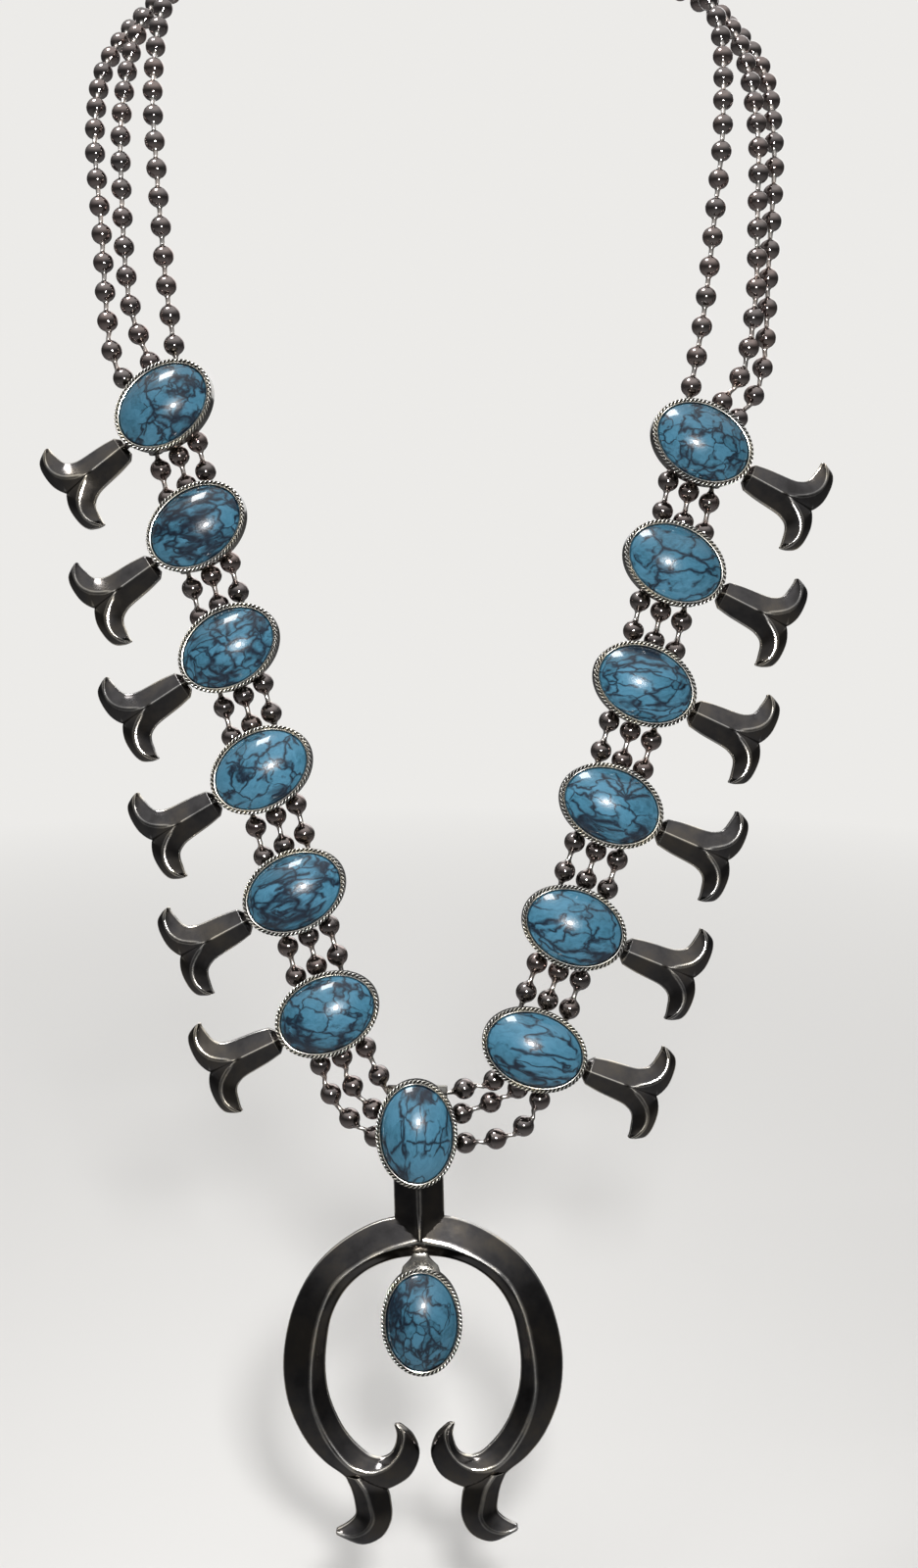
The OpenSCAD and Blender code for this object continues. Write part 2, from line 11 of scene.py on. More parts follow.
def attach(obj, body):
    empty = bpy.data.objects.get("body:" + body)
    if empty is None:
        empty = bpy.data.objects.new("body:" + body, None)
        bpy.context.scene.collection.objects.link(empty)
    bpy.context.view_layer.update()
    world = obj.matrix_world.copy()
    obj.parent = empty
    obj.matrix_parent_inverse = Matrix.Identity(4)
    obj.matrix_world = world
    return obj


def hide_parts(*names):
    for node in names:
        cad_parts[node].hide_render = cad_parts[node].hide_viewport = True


MM = 0.001
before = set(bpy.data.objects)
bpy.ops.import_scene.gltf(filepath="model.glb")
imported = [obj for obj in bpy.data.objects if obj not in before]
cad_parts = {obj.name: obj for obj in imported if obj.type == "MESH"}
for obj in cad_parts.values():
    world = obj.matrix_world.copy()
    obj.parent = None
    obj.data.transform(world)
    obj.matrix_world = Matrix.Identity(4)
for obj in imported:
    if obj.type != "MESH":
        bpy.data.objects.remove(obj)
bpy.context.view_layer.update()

SIDES = {"left": -1, "right": 1}
STRANDS = ("inner", "middle", "outer")

# Stones, cups and strands, as the model has them
STONE_L = 24 * MM
STONE_W = 17.5 * MM
STONE_DOME = 5 * MM
STONE_FOOT = 3.9 * MM
CUP_DEPTH = 5 * MM
TUBE_D = 3.8 * MM
SADDLE_T = 1.5 * MM
SADDLE_W = 8 * MM
BORE_D = 2.2 * MM
STRAND_GAP = 5.8 * MM
BEAD_D = 5.3 * MM
LINK_D = 1.1 * MM

# Rounding of the edges of plates and tubes, then the distance within which points become one
EDGE_EASE = 0.3 * MM
WELD = 2e-6

# Wear of each kind of surface, from 0, recess, to 1, edge
EVEN_WEAR = 0.5
CUP_WEAR = 0.3
COLLAR_WEAR = 0.8
PLATE_WEAR = 0.35
TUBE_WEAR = 0.4
FAN_WEAR = 0.8
LINK_WEAR = 0.9


# Arrays and meshes


def smooth_rows(rows, steps):
    """A Catmull-Rom curve through rows of numbers, with steps parts between two rows."""
    rows = np.array(rows, float)
    ends = np.vstack([rows[:1], rows, rows[-1:]])
    made = []
    for a, b, c, d in zip(ends, ends[1:], ends[2:], ends[3:]):
        for t in np.arange(steps) / steps:
            made.append(
                0.5
                * (
                    2 * b
                    + (c - a) * t
                    + (2 * a - 5 * b + 4 * c - d) * t**2
                    + (3 * b - a - 3 * c + d) * t**3
                )
            )
    return np.array(made + [rows[-1]])


class Form:
    """Vertices and faces of one piece, with a wear value for each vertex."""

    def __init__(self):
        self.points, self.faces, self.wear = [], [], []

    def add(self, points, faces, wear):
        start = len(self.points)
        self.points.extend(tuple(p) for p in points)
        self.faces.extend(tuple(start + i for i in f) for f in faces)
        self.wear.extend(np.broadcast_to(wear, len(points)))

    def grid(self, rings, wear=EVEN_WEAR, closed=False, caps=False):
        """Rings of points joined to a skin. A closed one joins its last ring to its first."""
        rings = np.array(rings, float)
        n, m = rings.shape[:2]
        faces = [
            (i * m + j, i * m + (j + 1) % m, (i + 1) % n * m + (j + 1) % m, (i + 1) % n * m + j)
            for i in range(n if closed else n - 1)
            for j in range(m)
        ]
        if caps:
            faces += [tuple(range(m))[::-1], tuple((n - 1) * m + j for j in range(m))]
        self.add(rings.reshape(-1, 3), faces, np.broadcast_to(wear, (n, m)).ravel())

    def moved(self, matrix):
        """The same form, moved by a matrix."""
        made = Form()
        made.add([matrix @ Vector(p) for p in self.points], self.faces, self.wear)
        return made

    def merge(self, other):
        self.add(other.points, other.faces, other.wear)


SHARP_DEG = 40


def piece(name, form, material, replaced, local=None):
    """A mesh piece from a form. local gives each vertex its place on its own stone, in mm."""
    mesh = bpy.data.meshes.new(name)
    mesh.from_pydata(form.points, [], form.faces)
    mesh.validate()
    for polygon in mesh.polygons:
        polygon.use_smooth = True
    wear = mesh.attributes.new("wear", "FLOAT", "POINT")
    wear.data.foreach_set("value", np.array(form.wear, np.float32))
    if local is not None:
        place = mesh.attributes.new("place", "FLOAT_VECTOR", "POINT")
        place.data.foreach_set("vector", np.array(local, np.float32).ravel())
    mesh.set_sharp_from_angle(angle=math.radians(SHARP_DEG))
    mesh.materials.append(material)
    made = bpy.data.objects.new(name, mesh)
    bpy.context.scene.collection.objects.link(made)
    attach(made, "root")
    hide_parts(*replaced)
    return made


def across(axis, hint=(0, 0, 1)):
    """A unit vector square to axis, as near to hint as it can be."""
    axis, hint = np.array(axis, float), np.array(hint, float)
    side = hint - axis * (hint @ axis) / (axis @ axis)
    if np.linalg.norm(side) < 1e-6:
        return across(axis, (1, 0, 0))
    return side / np.linalg.norm(side)


# Places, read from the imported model


def points_of(node):
    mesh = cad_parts[node].data
    co = np.zeros(len(mesh.vertices) * 3)
    mesh.vertices.foreach_get("co", co)
    return co.reshape(-1, 3)


def seat(node):
    """Where a stone sits: x along it, z out of its cup, and the origin level with the rim."""
    mesh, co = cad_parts[node].data, points_of(node)
    sums = {}
    for p in mesh.polygons:
        key = tuple(round(c, 2) for c in p.normal)
        sums.setdefault(key, []).append(p)
    foot = max(sums.values(), key=lambda ps: sum(p.area for p in ps))
    out = -np.array(foot[0].normal)
    corners = [co[list(p.vertices)] for p in foot]
    parts = np.array([(c[0], b, d) for c in corners for b, d in zip(c[1:], c[2:])])
    areas = np.linalg.norm(np.cross(parts[:, 1] - parts[:, 0], parts[:, 2] - parts[:, 0]), axis=1)
    middle = (areas[:, None] * parts.mean(1)).sum(0) / areas.sum()
    parts = parts - middle
    spread = np.einsum("n,nki,nkj->ij", areas, parts, parts)
    spread += np.einsum("n,ni,nj->ij", areas, parts.sum(1), parts.sum(1))
    long_way = np.linalg.eigh(spread)[1][:, -1]
    if long_way[np.argmax(abs(long_way))] < 0:
        long_way = -long_way
    made = Matrix.Identity(4)
    for k, way in enumerate((long_way, np.cross(out, long_way), out)):
        made.col[k] = (*way, 0)
    made.col[3] = (*(middle + STONE_FOOT * out), 1)
    return made


# A thread's edge shorter than this lies in a ring round it, and a longer one runs along it
RING_EDGE = 1.5 * MM


def thread_path(node):
    """The points that a thread turns at, in order, each the middle of a ring of its vertices."""
    co = points_of(node)
    rounded, index = np.unique(np.round(co, 6), axis=0, return_inverse=True)
    index = index.ravel()
    edges = {
        tuple(sorted((index[a], index[b])))
        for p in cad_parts[node].data.polygons
        for a, b in p.edge_keys
    }
    group = list(range(len(rounded)))

    def root(i):
        while group[i] != i:
            i = group[i]
        return i

    for a, b in edges:
        if np.linalg.norm(rounded[a] - rounded[b]) < RING_EDGE:
            group[root(a)] = root(b)
    rings = {}
    for i in range(len(rounded)):
        rings.setdefault(root(i), []).append(rounded[i])
    middles = {r: np.mean(p, 0) for r, p in rings.items()}
    linked = {r: set() for r in rings}
    for a, b in edges:
        if root(a) != root(b):
            linked[root(a)].add(root(b))
            linked[root(b)].add(root(a))
    at = min((r for r in rings if len(linked[r]) == 1), key=lambda r: middles[r][0])
    order = [at]
    while len(order) < len(rings):
        at = next(r for r in linked[at] if r not in order[-2:])
        order.append(at)
    return np.array([middles[r] for r in order])


BEAD_REACH = 1.02 * BEAD_D / 2
BEAD_SKEW = 0.2 * BEAD_D


def bead_flags(path, node):
    """Which points of a path are the middles of beads, with vertices all round them."""
    co = points_of(node)
    flags = []
    for p in path:
        near = co[np.linalg.norm(co - p, axis=1) < BEAD_REACH] - p
        round_it = len(near) > 0 and np.linalg.norm(near.min(0) + near.max(0)) < BEAD_SKEW
        flags.append(round_it)
    return flags


# Oval cups


FINE_POINTS = 4001


def oval(count):
    """Points at even steps round a stone's edge, and the ways out from it."""
    fine = np.linspace(0, 2 * np.pi, FINE_POINTS)
    edge = np.stack([STONE_L / 2 * np.cos(fine), STONE_W / 2 * np.sin(fine)], 1)
    length = np.concatenate([[0], np.cumsum(np.linalg.norm(np.diff(edge, axis=0), axis=1))])
    t = np.interp(np.arange(count) / count * length[-1], length, fine)
    out = np.stack([STONE_W * np.cos(t), STONE_L * np.sin(t)], 1)
    out /= np.linalg.norm(out, axis=1)[:, None]
    return np.stack([STONE_L / 2 * np.cos(t), STONE_W / 2 * np.sin(t)], 1), out


def oval_ring(out, z, count):
    """A ring at a distance out from the stone's edge."""
    edge, ways = oval(count)
    flat = edge + ways * out
    return np.column_stack([flat, np.full(count, z)])


# Columns: distance out from the stone's edge, then height, in mm. The cup's rows run from the floor of
# its pocket over the rim to its back.
COLLAR = [(0.5, -1.2), (0.52, 0.05), (0.46, 0.26), (0.33, 0.36), (0.19, 0.31), (0.12, 0.12), (0.12, -1.2)]
CUP = [
    (0.1, -4.0), (0.1, -1.0), (0.5, -0.8), (0.95, -0.6), (1.08, -0.85), (1.1, -1.3),
    (1.1, -4.4), (1.03, -4.75), (0.8, -4.95), (0.5, -5.0),
]
OVAL_STEPS = 128
ROPE_OUT = 0.97 * MM
ROPE_TURNS = 34
ROPE_STEPS = 16
ROPE_SIDES = 12
LOBE_OFF = 0.2 * MM
LOBE_R = 0.22 * MM
ROPE_WEAR_POWER = 1.6


def rope():
    """Two twisted strands round the cup, as one skin of a two-lobed section."""
    count = ROPE_TURNS * ROPE_STEPS
    edge, ways = oval(count)
    turn = np.arange(count) / ROPE_STEPS * 2 * np.pi
    angle = np.arange(ROPE_SIDES) / ROPE_SIDES * 2 * np.pi
    dip = np.sqrt(np.maximum(LOBE_R**2 - (LOBE_OFF * np.sin(angle)) ** 2, 0))
    radius = LOBE_OFF * abs(np.cos(angle)) + dip
    rings = np.zeros((count, ROPE_SIDES, 3))
    for j, (a, r) in enumerate(zip(angle, radius)):
        sideways = ROPE_OUT + r * np.cos(a + turn)
        rings[:, j, :2] = edge + ways * sideways[:, None]
        rings[:, j, 2] = r * np.sin(a + turn)
    wear = ((radius - radius.min()) / (radius.max() - radius.min())) ** ROPE_WEAR_POWER
    form = Form()
    form.grid(rings, wear[None, :], closed=True)
    return form


def cup():
    """The cup with its collar and its rope rim."""
    form = Form()
    form.grid([oval_ring(out * MM, z * MM, OVAL_STEPS) for out, z in CUP], CUP_WEAR, caps=True)
    collar = [oval_ring(out * MM, z * MM, OVAL_STEPS) for out, z in COLLAR]
    form.grid(np.array(collar).transpose(1, 0, 2), COLLAR_WEAR, closed=True)
    form.merge(rope())
    return form


SADDLE_LAP = 0.4 * MM


def saddle(low, high):
    """The plate behind a cup that its tubes are soldered to, from low to high along the stone."""
    ease = EDGE_EASE
    levels = [(SADDLE_LAP, 0), (ease - SADDLE_T, 0), (0.3 * ease - SADDLE_T, 0.3 * ease), (-SADDLE_T, ease)]
    rings = []
    for z, inset in levels:
        x0, x1, y = low + inset, high - inset, SADDLE_W / 2 - inset
        rings.append([(*corner, z - CUP_DEPTH) for corner in ((x0, -y), (x1, -y), (x1, y), (x0, y))])
    form = Form()
    form.grid(rings, PLATE_WEAR, caps=True)
    return form


SLEEVE_SIDES = 28
SQUARE_POWER = 8


def sleeve(a, b, outer, bore, square=False):
    """A tube from a to b with rounded ends, round or nearly square outside."""
    a, b = np.array(a, float), np.array(b, float)
    way = (b - a) / np.linalg.norm(b - a)
    up = across(way)
    side = np.cross(way, up)
    length = np.linalg.norm(b - a)
    ease = EDGE_EASE
    profile = [
        (0, bore), (0, outer - ease), (ease / 3, outer - ease / 3), (ease, outer), (length - ease, outer),
        (length - ease / 3, outer - ease / 3), (length, outer - ease), (length, bore),
    ]
    angle = np.arange(SLEEVE_SIDES) / SLEEVE_SIDES * 2 * np.pi
    corner = abs(np.cos(angle)) ** SQUARE_POWER + abs(np.sin(angle)) ** SQUARE_POWER
    corner = corner ** (-1 / SQUARE_POWER)
    rings = []
    for along, r in profile:
        grow = corner if square and r > bore else np.ones(SLEEVE_SIDES)
        ring = np.outer(grow * np.cos(angle), up) + np.outer(grow * np.sin(angle), side)
        rings.append(a + way * along + r * ring)
    form = Form()
    form.grid(rings, TUBE_WEAR, closed=True)
    return form


# Stones


DOME_RINGS = 18
DOME_SPAN = DOME_RINGS - 0.8
DOME_STEPS = 72
DOME_EASE = 0.02
GIRDLE = 0.5 * MM


def dome_height(x, y):
    """The dome over a point of the stone, round both across and along it."""
    across_r = ((STONE_W / 2) ** 2 + STONE_DOME**2) / (2 * STONE_DOME)
    along_r = ((STONE_L / 2) ** 2 + STONE_DOME**2) / (2 * STONE_DOME)
    crown = np.sqrt(across_r**2 - y**2) + along_r - across_r
    return STONE_DOME - along_r + np.sqrt(crown**2 - x**2)


def stone():
    """A cabochon, domed above its edge and straight below it."""
    t = np.arange(DOME_STEPS) / DOME_STEPS * 2 * np.pi
    x, y = STONE_L / 2 * np.cos(t), STONE_W / 2 * np.sin(t)
    rings = [np.stack([x, y, np.full(DOME_STEPS, -STONE_FOOT)], 1)]
    rings.append(np.stack([x, y, dome_height(x, y) - GIRDLE], 1))
    for k in range(DOME_RINGS):
        share = (1 - DOME_EASE) * np.cos(np.pi / 2 * k / DOME_SPAN)
        rings.append(np.stack([x * share, y * share, dome_height(x * share, y * share)], 1))
    form = Form()
    form.grid(rings, caps=True)
    return form


# Strands of beads


LINK_SIDES = 20
# Columns: distance along from a bead's middle as a share of its radius, then the strand's radius
BEAD_SHARES = np.concatenate([
    [[-1.24, 0.23], [-1.1, 0.26], [-0.98, 0.35]],
    [[math.sin(a), math.cos(a)] for a in np.radians(np.arange(-65, 66, 13))],
    [[0.98, 0.35], [1.1, 0.26], [1.24, 0.23]],
])


def strand(path, beads):
    """One skin along a path: a ball at each bead, and a thin link with flared ends between."""
    n = len(path)
    rings, wear, up = [], [], np.array([0.0, 0, 1])
    angle = np.arange(LINK_SIDES) / LINK_SIDES * 2 * np.pi
    for i, (p, bead) in enumerate(zip(path, beads)):
        way = path[min(i + 1, n - 1)] - path[max(i - 1, 0)]
        way = way / np.linalg.norm(way)
        up = across(way, up)
        side = np.cross(way, up)
        circle = np.outer(np.cos(angle), up) + np.outer(np.sin(angle), side)
        for along, r in BEAD_SHARES * BEAD_D / 2 if bead else [(0, LINK_D / 2)]:
            rings.append(p + way * along + r * circle)
            wear.append(EVEN_WEAR if r > LINK_D else LINK_WEAR)
    form = Form()
    form.grid(rings, np.array(wear)[:, None], caps=True)
    return form


# Ridged castings


FACET_STEPS = 7
EDGE_ROUND = 0.45 * MM
RIDGE_ROUND = 0.42 * MM
RIDGE_RISE = 0.04 * MM


def facet_side(edge, ridge, edge_z, ridge_z, puff, bevel=1.0):
    """Points of a section from the foot of an edge up its side and over the facet, short of the ridge.
    The bend at the edge is rounded with one point between the side and the facet."""
    way = ridge - edge
    width = max(np.linalg.norm(way), 1e-9)
    way = way / width
    bend = min(EDGE_ROUND * bevel, 0.4 * width, 0.45 * edge_z)
    made = [(edge + way * bend * 0.4, 0), (edge, bend * 0.4), (edge, edge_z - bend)]
    made.append((edge + way * bend * 0.3, edge_z - bend * 0.35))
    start, stop = bend / width, 1 - min(RIDGE_ROUND / width, 0.3)
    for t in np.linspace(start, stop, FACET_STEPS):
        lift = ((t - start) / (1 - start)) ** (1 - 0.35 * puff)
        made.append((edge + way * width * t, edge_z + (ridge_z - edge_z) * lift))
    return [(p[0], p[1], z) for p, z in made]


def ridged(rows):
    """Sections of a ridged casting. A row: outer edge, ridge and inner edge, across and up, then the
    heights of the outer edge, ridge and inner edge, how puffed the facets are and how round the inner
    edge is."""
    rings = []
    for row in rows:
        outer, ridge, inner = row[0:2], row[2:4], row[4:6]
        outer_z, ridge_z, inner_z, puff, bevel = row[6:11]
        first = facet_side(outer, ridge, outer_z, ridge_z, puff)
        last = facet_side(inner, ridge, inner_z, ridge_z, puff, bevel)
        crest_z = min(max(first[-1][2], last[-1][2]) + RIDGE_RISE, ridge_z)
        rings.append(first + [(ridge[0], ridge[1], crest_z)] + last[::-1])
    form = Form()
    form.grid(rings, caps=True)
    return form


def cleaned(form, mirror=False):
    """A bmesh of a form without double points, joined to its mirror image across y if asked."""
    mesh = bpy.data.meshes.new("form")
    mesh.from_pydata(form.points, [], form.faces)
    bm = bmesh.new()
    bm.from_mesh(mesh)
    bpy.data.meshes.remove(mesh)
    bmesh.ops.remove_doubles(bm, verts=bm.verts, dist=WELD)
    if mirror:
        flat = [f for f in bm.faces if all(abs(v.co.y) < 1e-7 for v in f.verts)]
        bmesh.ops.delete(bm, geom=flat, context="FACES")
        copied = bmesh.ops.duplicate(bm, geom=bm.verts[:] + bm.edges[:] + bm.faces[:])["geom"]
        for v in copied:
            if isinstance(v, bmesh.types.BMVert):
                v.co.y = -v.co.y
        bmesh.ops.remove_doubles(bm, verts=bm.verts, dist=WELD)
    bmesh.ops.dissolve_degenerate(bm, dist=WELD / 2, edges=bm.edges)
    bmesh.ops.recalc_face_normals(bm, faces=bm.faces)
    return bm


CAST_WEAR = 0.4
EDGE_GAIN = 1.1
HOLLOW_GAIN = 0.4
BACKWARD = -0.99


def form_of(bm):
    """The form of a bmesh, worn where it is convex and even on its flat back."""
    bm.verts.index_update()
    form = Form()
    wear = []
    for v in bm.verts:
        bends = [e.calc_face_angle_signed() for e in v.link_edges if len(e.link_faces) == 2]
        bend = max(bends, key=abs, default=0)
        flat = any(f.normal.z < BACKWARD for f in v.link_faces)
        gain = EDGE_GAIN if bend > 0 else HOLLOW_GAIN
        wear.append(EVEN_WEAR if flat else min(max(CAST_WEAR + gain * bend, 0), 1))
    form.add([v.co for v in bm.verts], [[v.index for v in f.verts] for f in bm.faces], wear)
    bm.free()
    return form


BLOSSOM_L = 21.3 * MM
BLOSSOM_W = 24.4 * MM
BLOSSOM_RIDGE = 3.6 * MM
BLOSSOM_EDGE = 1.5 * MM
BLOSSOM_DROP = 0.5 * MM
BLOSSOM_GAP = 1.1 * MM
BLOSSOM_Z = -7.5 * MM
BUTT_X = 13.1 * MM
PEG_Z = -6.3 * MM
# Columns: outer edge, ridge and inner edge, each as shares of the length along and the half width
# across, then the ridge's height as a share of its full height, then how puffed the petal is
PETAL_ROWS = [
    (0.00, 0.17, 0.00, 0.00, 0.00, 0.00, 0.42, 0),
    (0.008, 0.19, 0.006, 0.00, 0.006, 0.00, 0.52, 0),
    (0.06, 0.285, 0.05, 0.00, 0.05, 0.00, 0.96, 0),
    (0.09, 0.30, 0.08, 0.00, 0.08, 0.00, 1.00, 0),
    (0.25, 0.345, 0.25, 0.00, 0.25, 0.00, 1.00, 0),
    (0.52, 0.385, 0.53, 0.00, 0.53, 0.00, 1.00, 0.1),
    (0.62, 0.43, 0.66, 0.085, 0.68, 0.00, 0.98, 0.2),
    (0.69, 0.505, 0.765, 0.20, 0.80, 0.00, 0.95, 0.3),
    (0.725, 0.61, 0.835, 0.32, 0.90, 0.00, 0.93, 0.4),
    (0.742, 0.74, 0.88, 0.475, 0.985, 0.27, 0.88, 0.5),
    (0.755, 0.85, 0.888, 0.66, 0.995, 0.62, 0.80, 0.5),
    (0.76, 0.93, 0.855, 0.83, 0.955, 0.85, 0.68, 0.5),
    (0.757, 0.98, 0.81, 0.955, 0.87, 0.955, 0.48, 0.5),
    (0.77, 1.00, 0.79, 0.993, 0.815, 0.988, 0.22, 0.5),
]
RIDGE_ROW = 5
CROTCH_ROW = 8
PETAL_STEPS = 4


def blossom():
    """A ridged trumpet that splits into two curled petals, along x from its narrow end."""
    rows = []
    for i, r in enumerate(PETAL_ROWS):
        ridge_z = BLOSSOM_EDGE + r[6] * (BLOSSOM_RIDGE - BLOSSOM_EDGE)
        sunk = min(max((i - RIDGE_ROW) / (CROTCH_ROW - RIDGE_ROW), 0), 1)
        valley = ridge_z + sunk * (BLOSSOM_EDGE - ridge_z)
        spot = [v * (BLOSSOM_L, BLOSSOM_W / 2)[k % 2] for k, v in enumerate(r[:6])]
        rows.append(spot + [BLOSSOM_EDGE, ridge_z, valley, r[7], i > CROTCH_ROW])
    rows = smooth_rows(rows, PETAL_STEPS)
    rows[: RIDGE_ROW * PETAL_STEPS + 1, 3] = 0
    rows[: CROTCH_ROW * PETAL_STEPS + 1, (5, 10)] = 0
    rows[:, 8] = np.minimum(rows[:, 8], rows[:, 7])
    rows[:, 10] = np.clip(rows[:, 10], 0, 1)
    return cleaned(ridged(rows), mirror=True)


# Pendant


CRESCENT_R = 35 * MM
CRESCENT_RIDGE = 4.4 * MM
CRESCENT_EDGE = 1.6 * MM
CRESCENT_DROP = 59 * MM
NECK_W = 12.4 * MM
NECK_HEAD = 7 * MM
NAJA_Z = -9.5 * MM
DROP_AT = (0, -47.3 * MM, -4.5 * MM)
CRESCENT_STEPS = 6
CURL_PUFF = 0.7
CURL_PUFF_ROWS = 12
FOOT_PUFF = 0.6
NECK_ROWS = 4
# Columns: angle from the top, then radius of the outer edge, ridge and inner edge as shares of the
# crescent's half width
ARM_ROWS = [
    (0, 1.08, 0.905, 0.785),
    (15, 1.075, 0.875, 0.785),
    (30, 1.06, 0.865, 0.785),
    (45, 1.045, 0.86, 0.77),
    (60, 1.02, 0.82, 0.74),
    (75, 1, 0.79, 0.705),
    (90, 0.995, 0.79, 0.695),
    (105, 0.995, 0.815, 0.70),
    (120, 0.99, 0.835, 0.71),
    (132, 0.98, 0.855, 0.725),
    (142, 0.965, 0.87, 0.735),
]
# Columns: outer edge, ridge and inner edge as shares of the half width, then the ridge's height
CURL_ROWS = [
    (0.47, -0.87, 0.44, -0.725, 0.385, -0.63, 0.96),
    (0.34, -0.885, 0.34, -0.722, 0.31, -0.645, 0.94),
    (0.215, -0.85, 0.245, -0.675, 0.25, -0.62, 0.90),
    (0.10, -0.77, 0.175, -0.59, 0.215, -0.565, 0.84),
    (0.04, -0.63, 0.148, -0.50, 0.20, -0.49, 0.76),
    (0.075, -0.50, 0.155, -0.445, 0.21, -0.435, 0.62),
    (0.15, -0.425, 0.18, -0.418, 0.215, -0.42, 0.42),
    (0.18, -0.41, 0.195, -0.41, 0.21, -0.413, 0.20),
]
FOOT_ROWS = [
    (0.575, -0.77, 0.49, -0.77, 0.38, -0.77, 0.88),
    (0.535, -0.86, 0.43, -0.86, 0.28, -0.86, 0.92),
    (0.512, -0.95, 0.40, -0.955, 0.25, -0.96, 0.90),
    (0.505, -1.04, 0.385, -1.065, 0.25, -1.09, 0.86),
    (0.545, -1.09, 0.44, -1.15, 0.32, -1.21, 0.78),
    (0.595, -1.122, 0.54, -1.185, 0.46, -1.262, 0.62),
    (0.632, -1.14, 0.635, -1.165, 0.62, -1.20, 0.38),
    (0.645, -1.152, 0.648, -1.165, 0.642, -1.18, 0.20),
]


def crescent_rows(rows, puff):
    """Rows for ridged(), in the crescent's own place, from shares of its half width."""
    return [
        [v * CRESCENT_R for v in r[:6]]
        + [CRESCENT_EDGE, CRESCENT_EDGE + (CRESCENT_RIDGE - CRESCENT_EDGE) * r[6], CRESCENT_EDGE]
        + [puff, 1]
        for r in rows
    ]


def arm_shares():
    """The arm's rows in the form of the curl's, at the ridge's full height."""
    made = []
    for angle, *radii in ARM_ROWS:
        a = math.radians(angle)
        made.append([v for r in radii for v in (r * math.sin(a), r * math.cos(a))] + [1])
    return made


def solid_of(form):
    """A hidden helper object of a closed form, for cutting and joining."""
    bm = cleaned(form)
    mesh = bpy.data.meshes.new("solid")
    bm.to_mesh(mesh)
    bm.free()
    made = bpy.data.objects.new("solid", mesh)
    bpy.context.scene.collection.objects.link(made)
    return made


def united(forms, bores=()):
    """One skin round closed forms that run into each other, with bores cut from it."""
    first, *others = [solid_of(f) for f in (*forms, *bores)]
    for k, other in enumerate(others, 1):
        joint = first.modifiers.new("joint", "BOOLEAN")
        joint.operation = "UNION" if k < len(forms) else "DIFFERENCE"
        joint.solver = "EXACT"
        joint.object = other
    seen = first.evaluated_get(bpy.context.evaluated_depsgraph_get())
    bm = bmesh.new()
    bm.from_mesh(seen.data)
    for made in [first] + others:
        mesh = made.data
        bpy.data.objects.remove(made)
        bpy.data.meshes.remove(mesh)
    bmesh.ops.remove_doubles(bm, verts=bm.verts, dist=WELD)
    return bm


def crescent():
    """The neck, the crescent with its curls, and the feet, in one skin."""
    right = smooth_rows(crescent_rows(arm_shares() + CURL_ROWS, 0), CRESCENT_STEPS)
    curl = (len(ARM_ROWS) - 1) * CRESCENT_STEPS
    right[curl:, 9] = np.minimum(np.arange(len(right) - curl) / CURL_PUFF_ROWS, 1) * CURL_PUFF
    left = right[:0:-1].copy()
    left[:, 0:6:2] *= -1
    foot = smooth_rows(crescent_rows(FOOT_ROWS, FOOT_PUFF), CRESCENT_STEPS)
    other = foot.copy()
    other[:, 0:6:2] *= -1
    low = CRESCENT_R * ARM_ROWS[0][2] - CRESCENT_DROP
    neck = []
    for y in np.linspace(low, -NECK_HEAD, NECK_ROWS):
        neck.append([-NECK_W / 2, y, 0, y, NECK_W / 2, y])
        neck[-1] += [CRESCENT_EDGE, CRESCENT_RIDGE, CRESCENT_EDGE, 0, 1]
    down = Matrix.Translation((0, -CRESCENT_DROP, 0))
    parts = [ridged(np.vstack([left, right])), ridged(foot), ridged(other)]
    return united([p.moved(down) for p in parts] + [ridged(np.array(neck))])


FAN_SIDES = 24
# FAN_UP and FAN_BACK place the fan from the middle of the drop cup. Columns: height over FAN_UP, half
# width and thickness. All are in mm.
FAN_UP = 12.7
FAN_BACK = 4.0
FAN_ROWS = [
    (-1.0, 4.9, 1.7), (0.6, 4.4, 1.7), (2.0, 3.0, 1.9), (3.0, 2.2, 2.2), (3.9, 2.0, 2.0), (4.3, 1.4, 1.4),
]


def fan():
    """The little fan that joins the drop cup to the crescent, with its knob."""
    t = np.arange(FAN_SIDES) / FAN_SIDES * 2 * np.pi
    rings = []
    for y, half, top in FAN_ROWS:
        x = half * np.sign(np.cos(t)) * abs(np.cos(t)) ** 0.7
        z = top / 2 * (1 + np.sign(np.sin(t)) * abs(np.sin(t)) ** 0.5)
        rings.append(np.stack([x, np.full(FAN_SIDES, FAN_UP + y), z - FAN_BACK], 1) * MM)
    form = Form()
    form.grid(rings, FAN_WEAR, caps=True)
    return form


CLASP_L = 16 * MM
CLASP_T = 4.6 * MM
CLASP_CORNER = 1.6 * MM
CLASP_ROUND = 0.6 * MM
CORNER_TURNS = range(0, 91, 15)
BORE_SIDES = 24


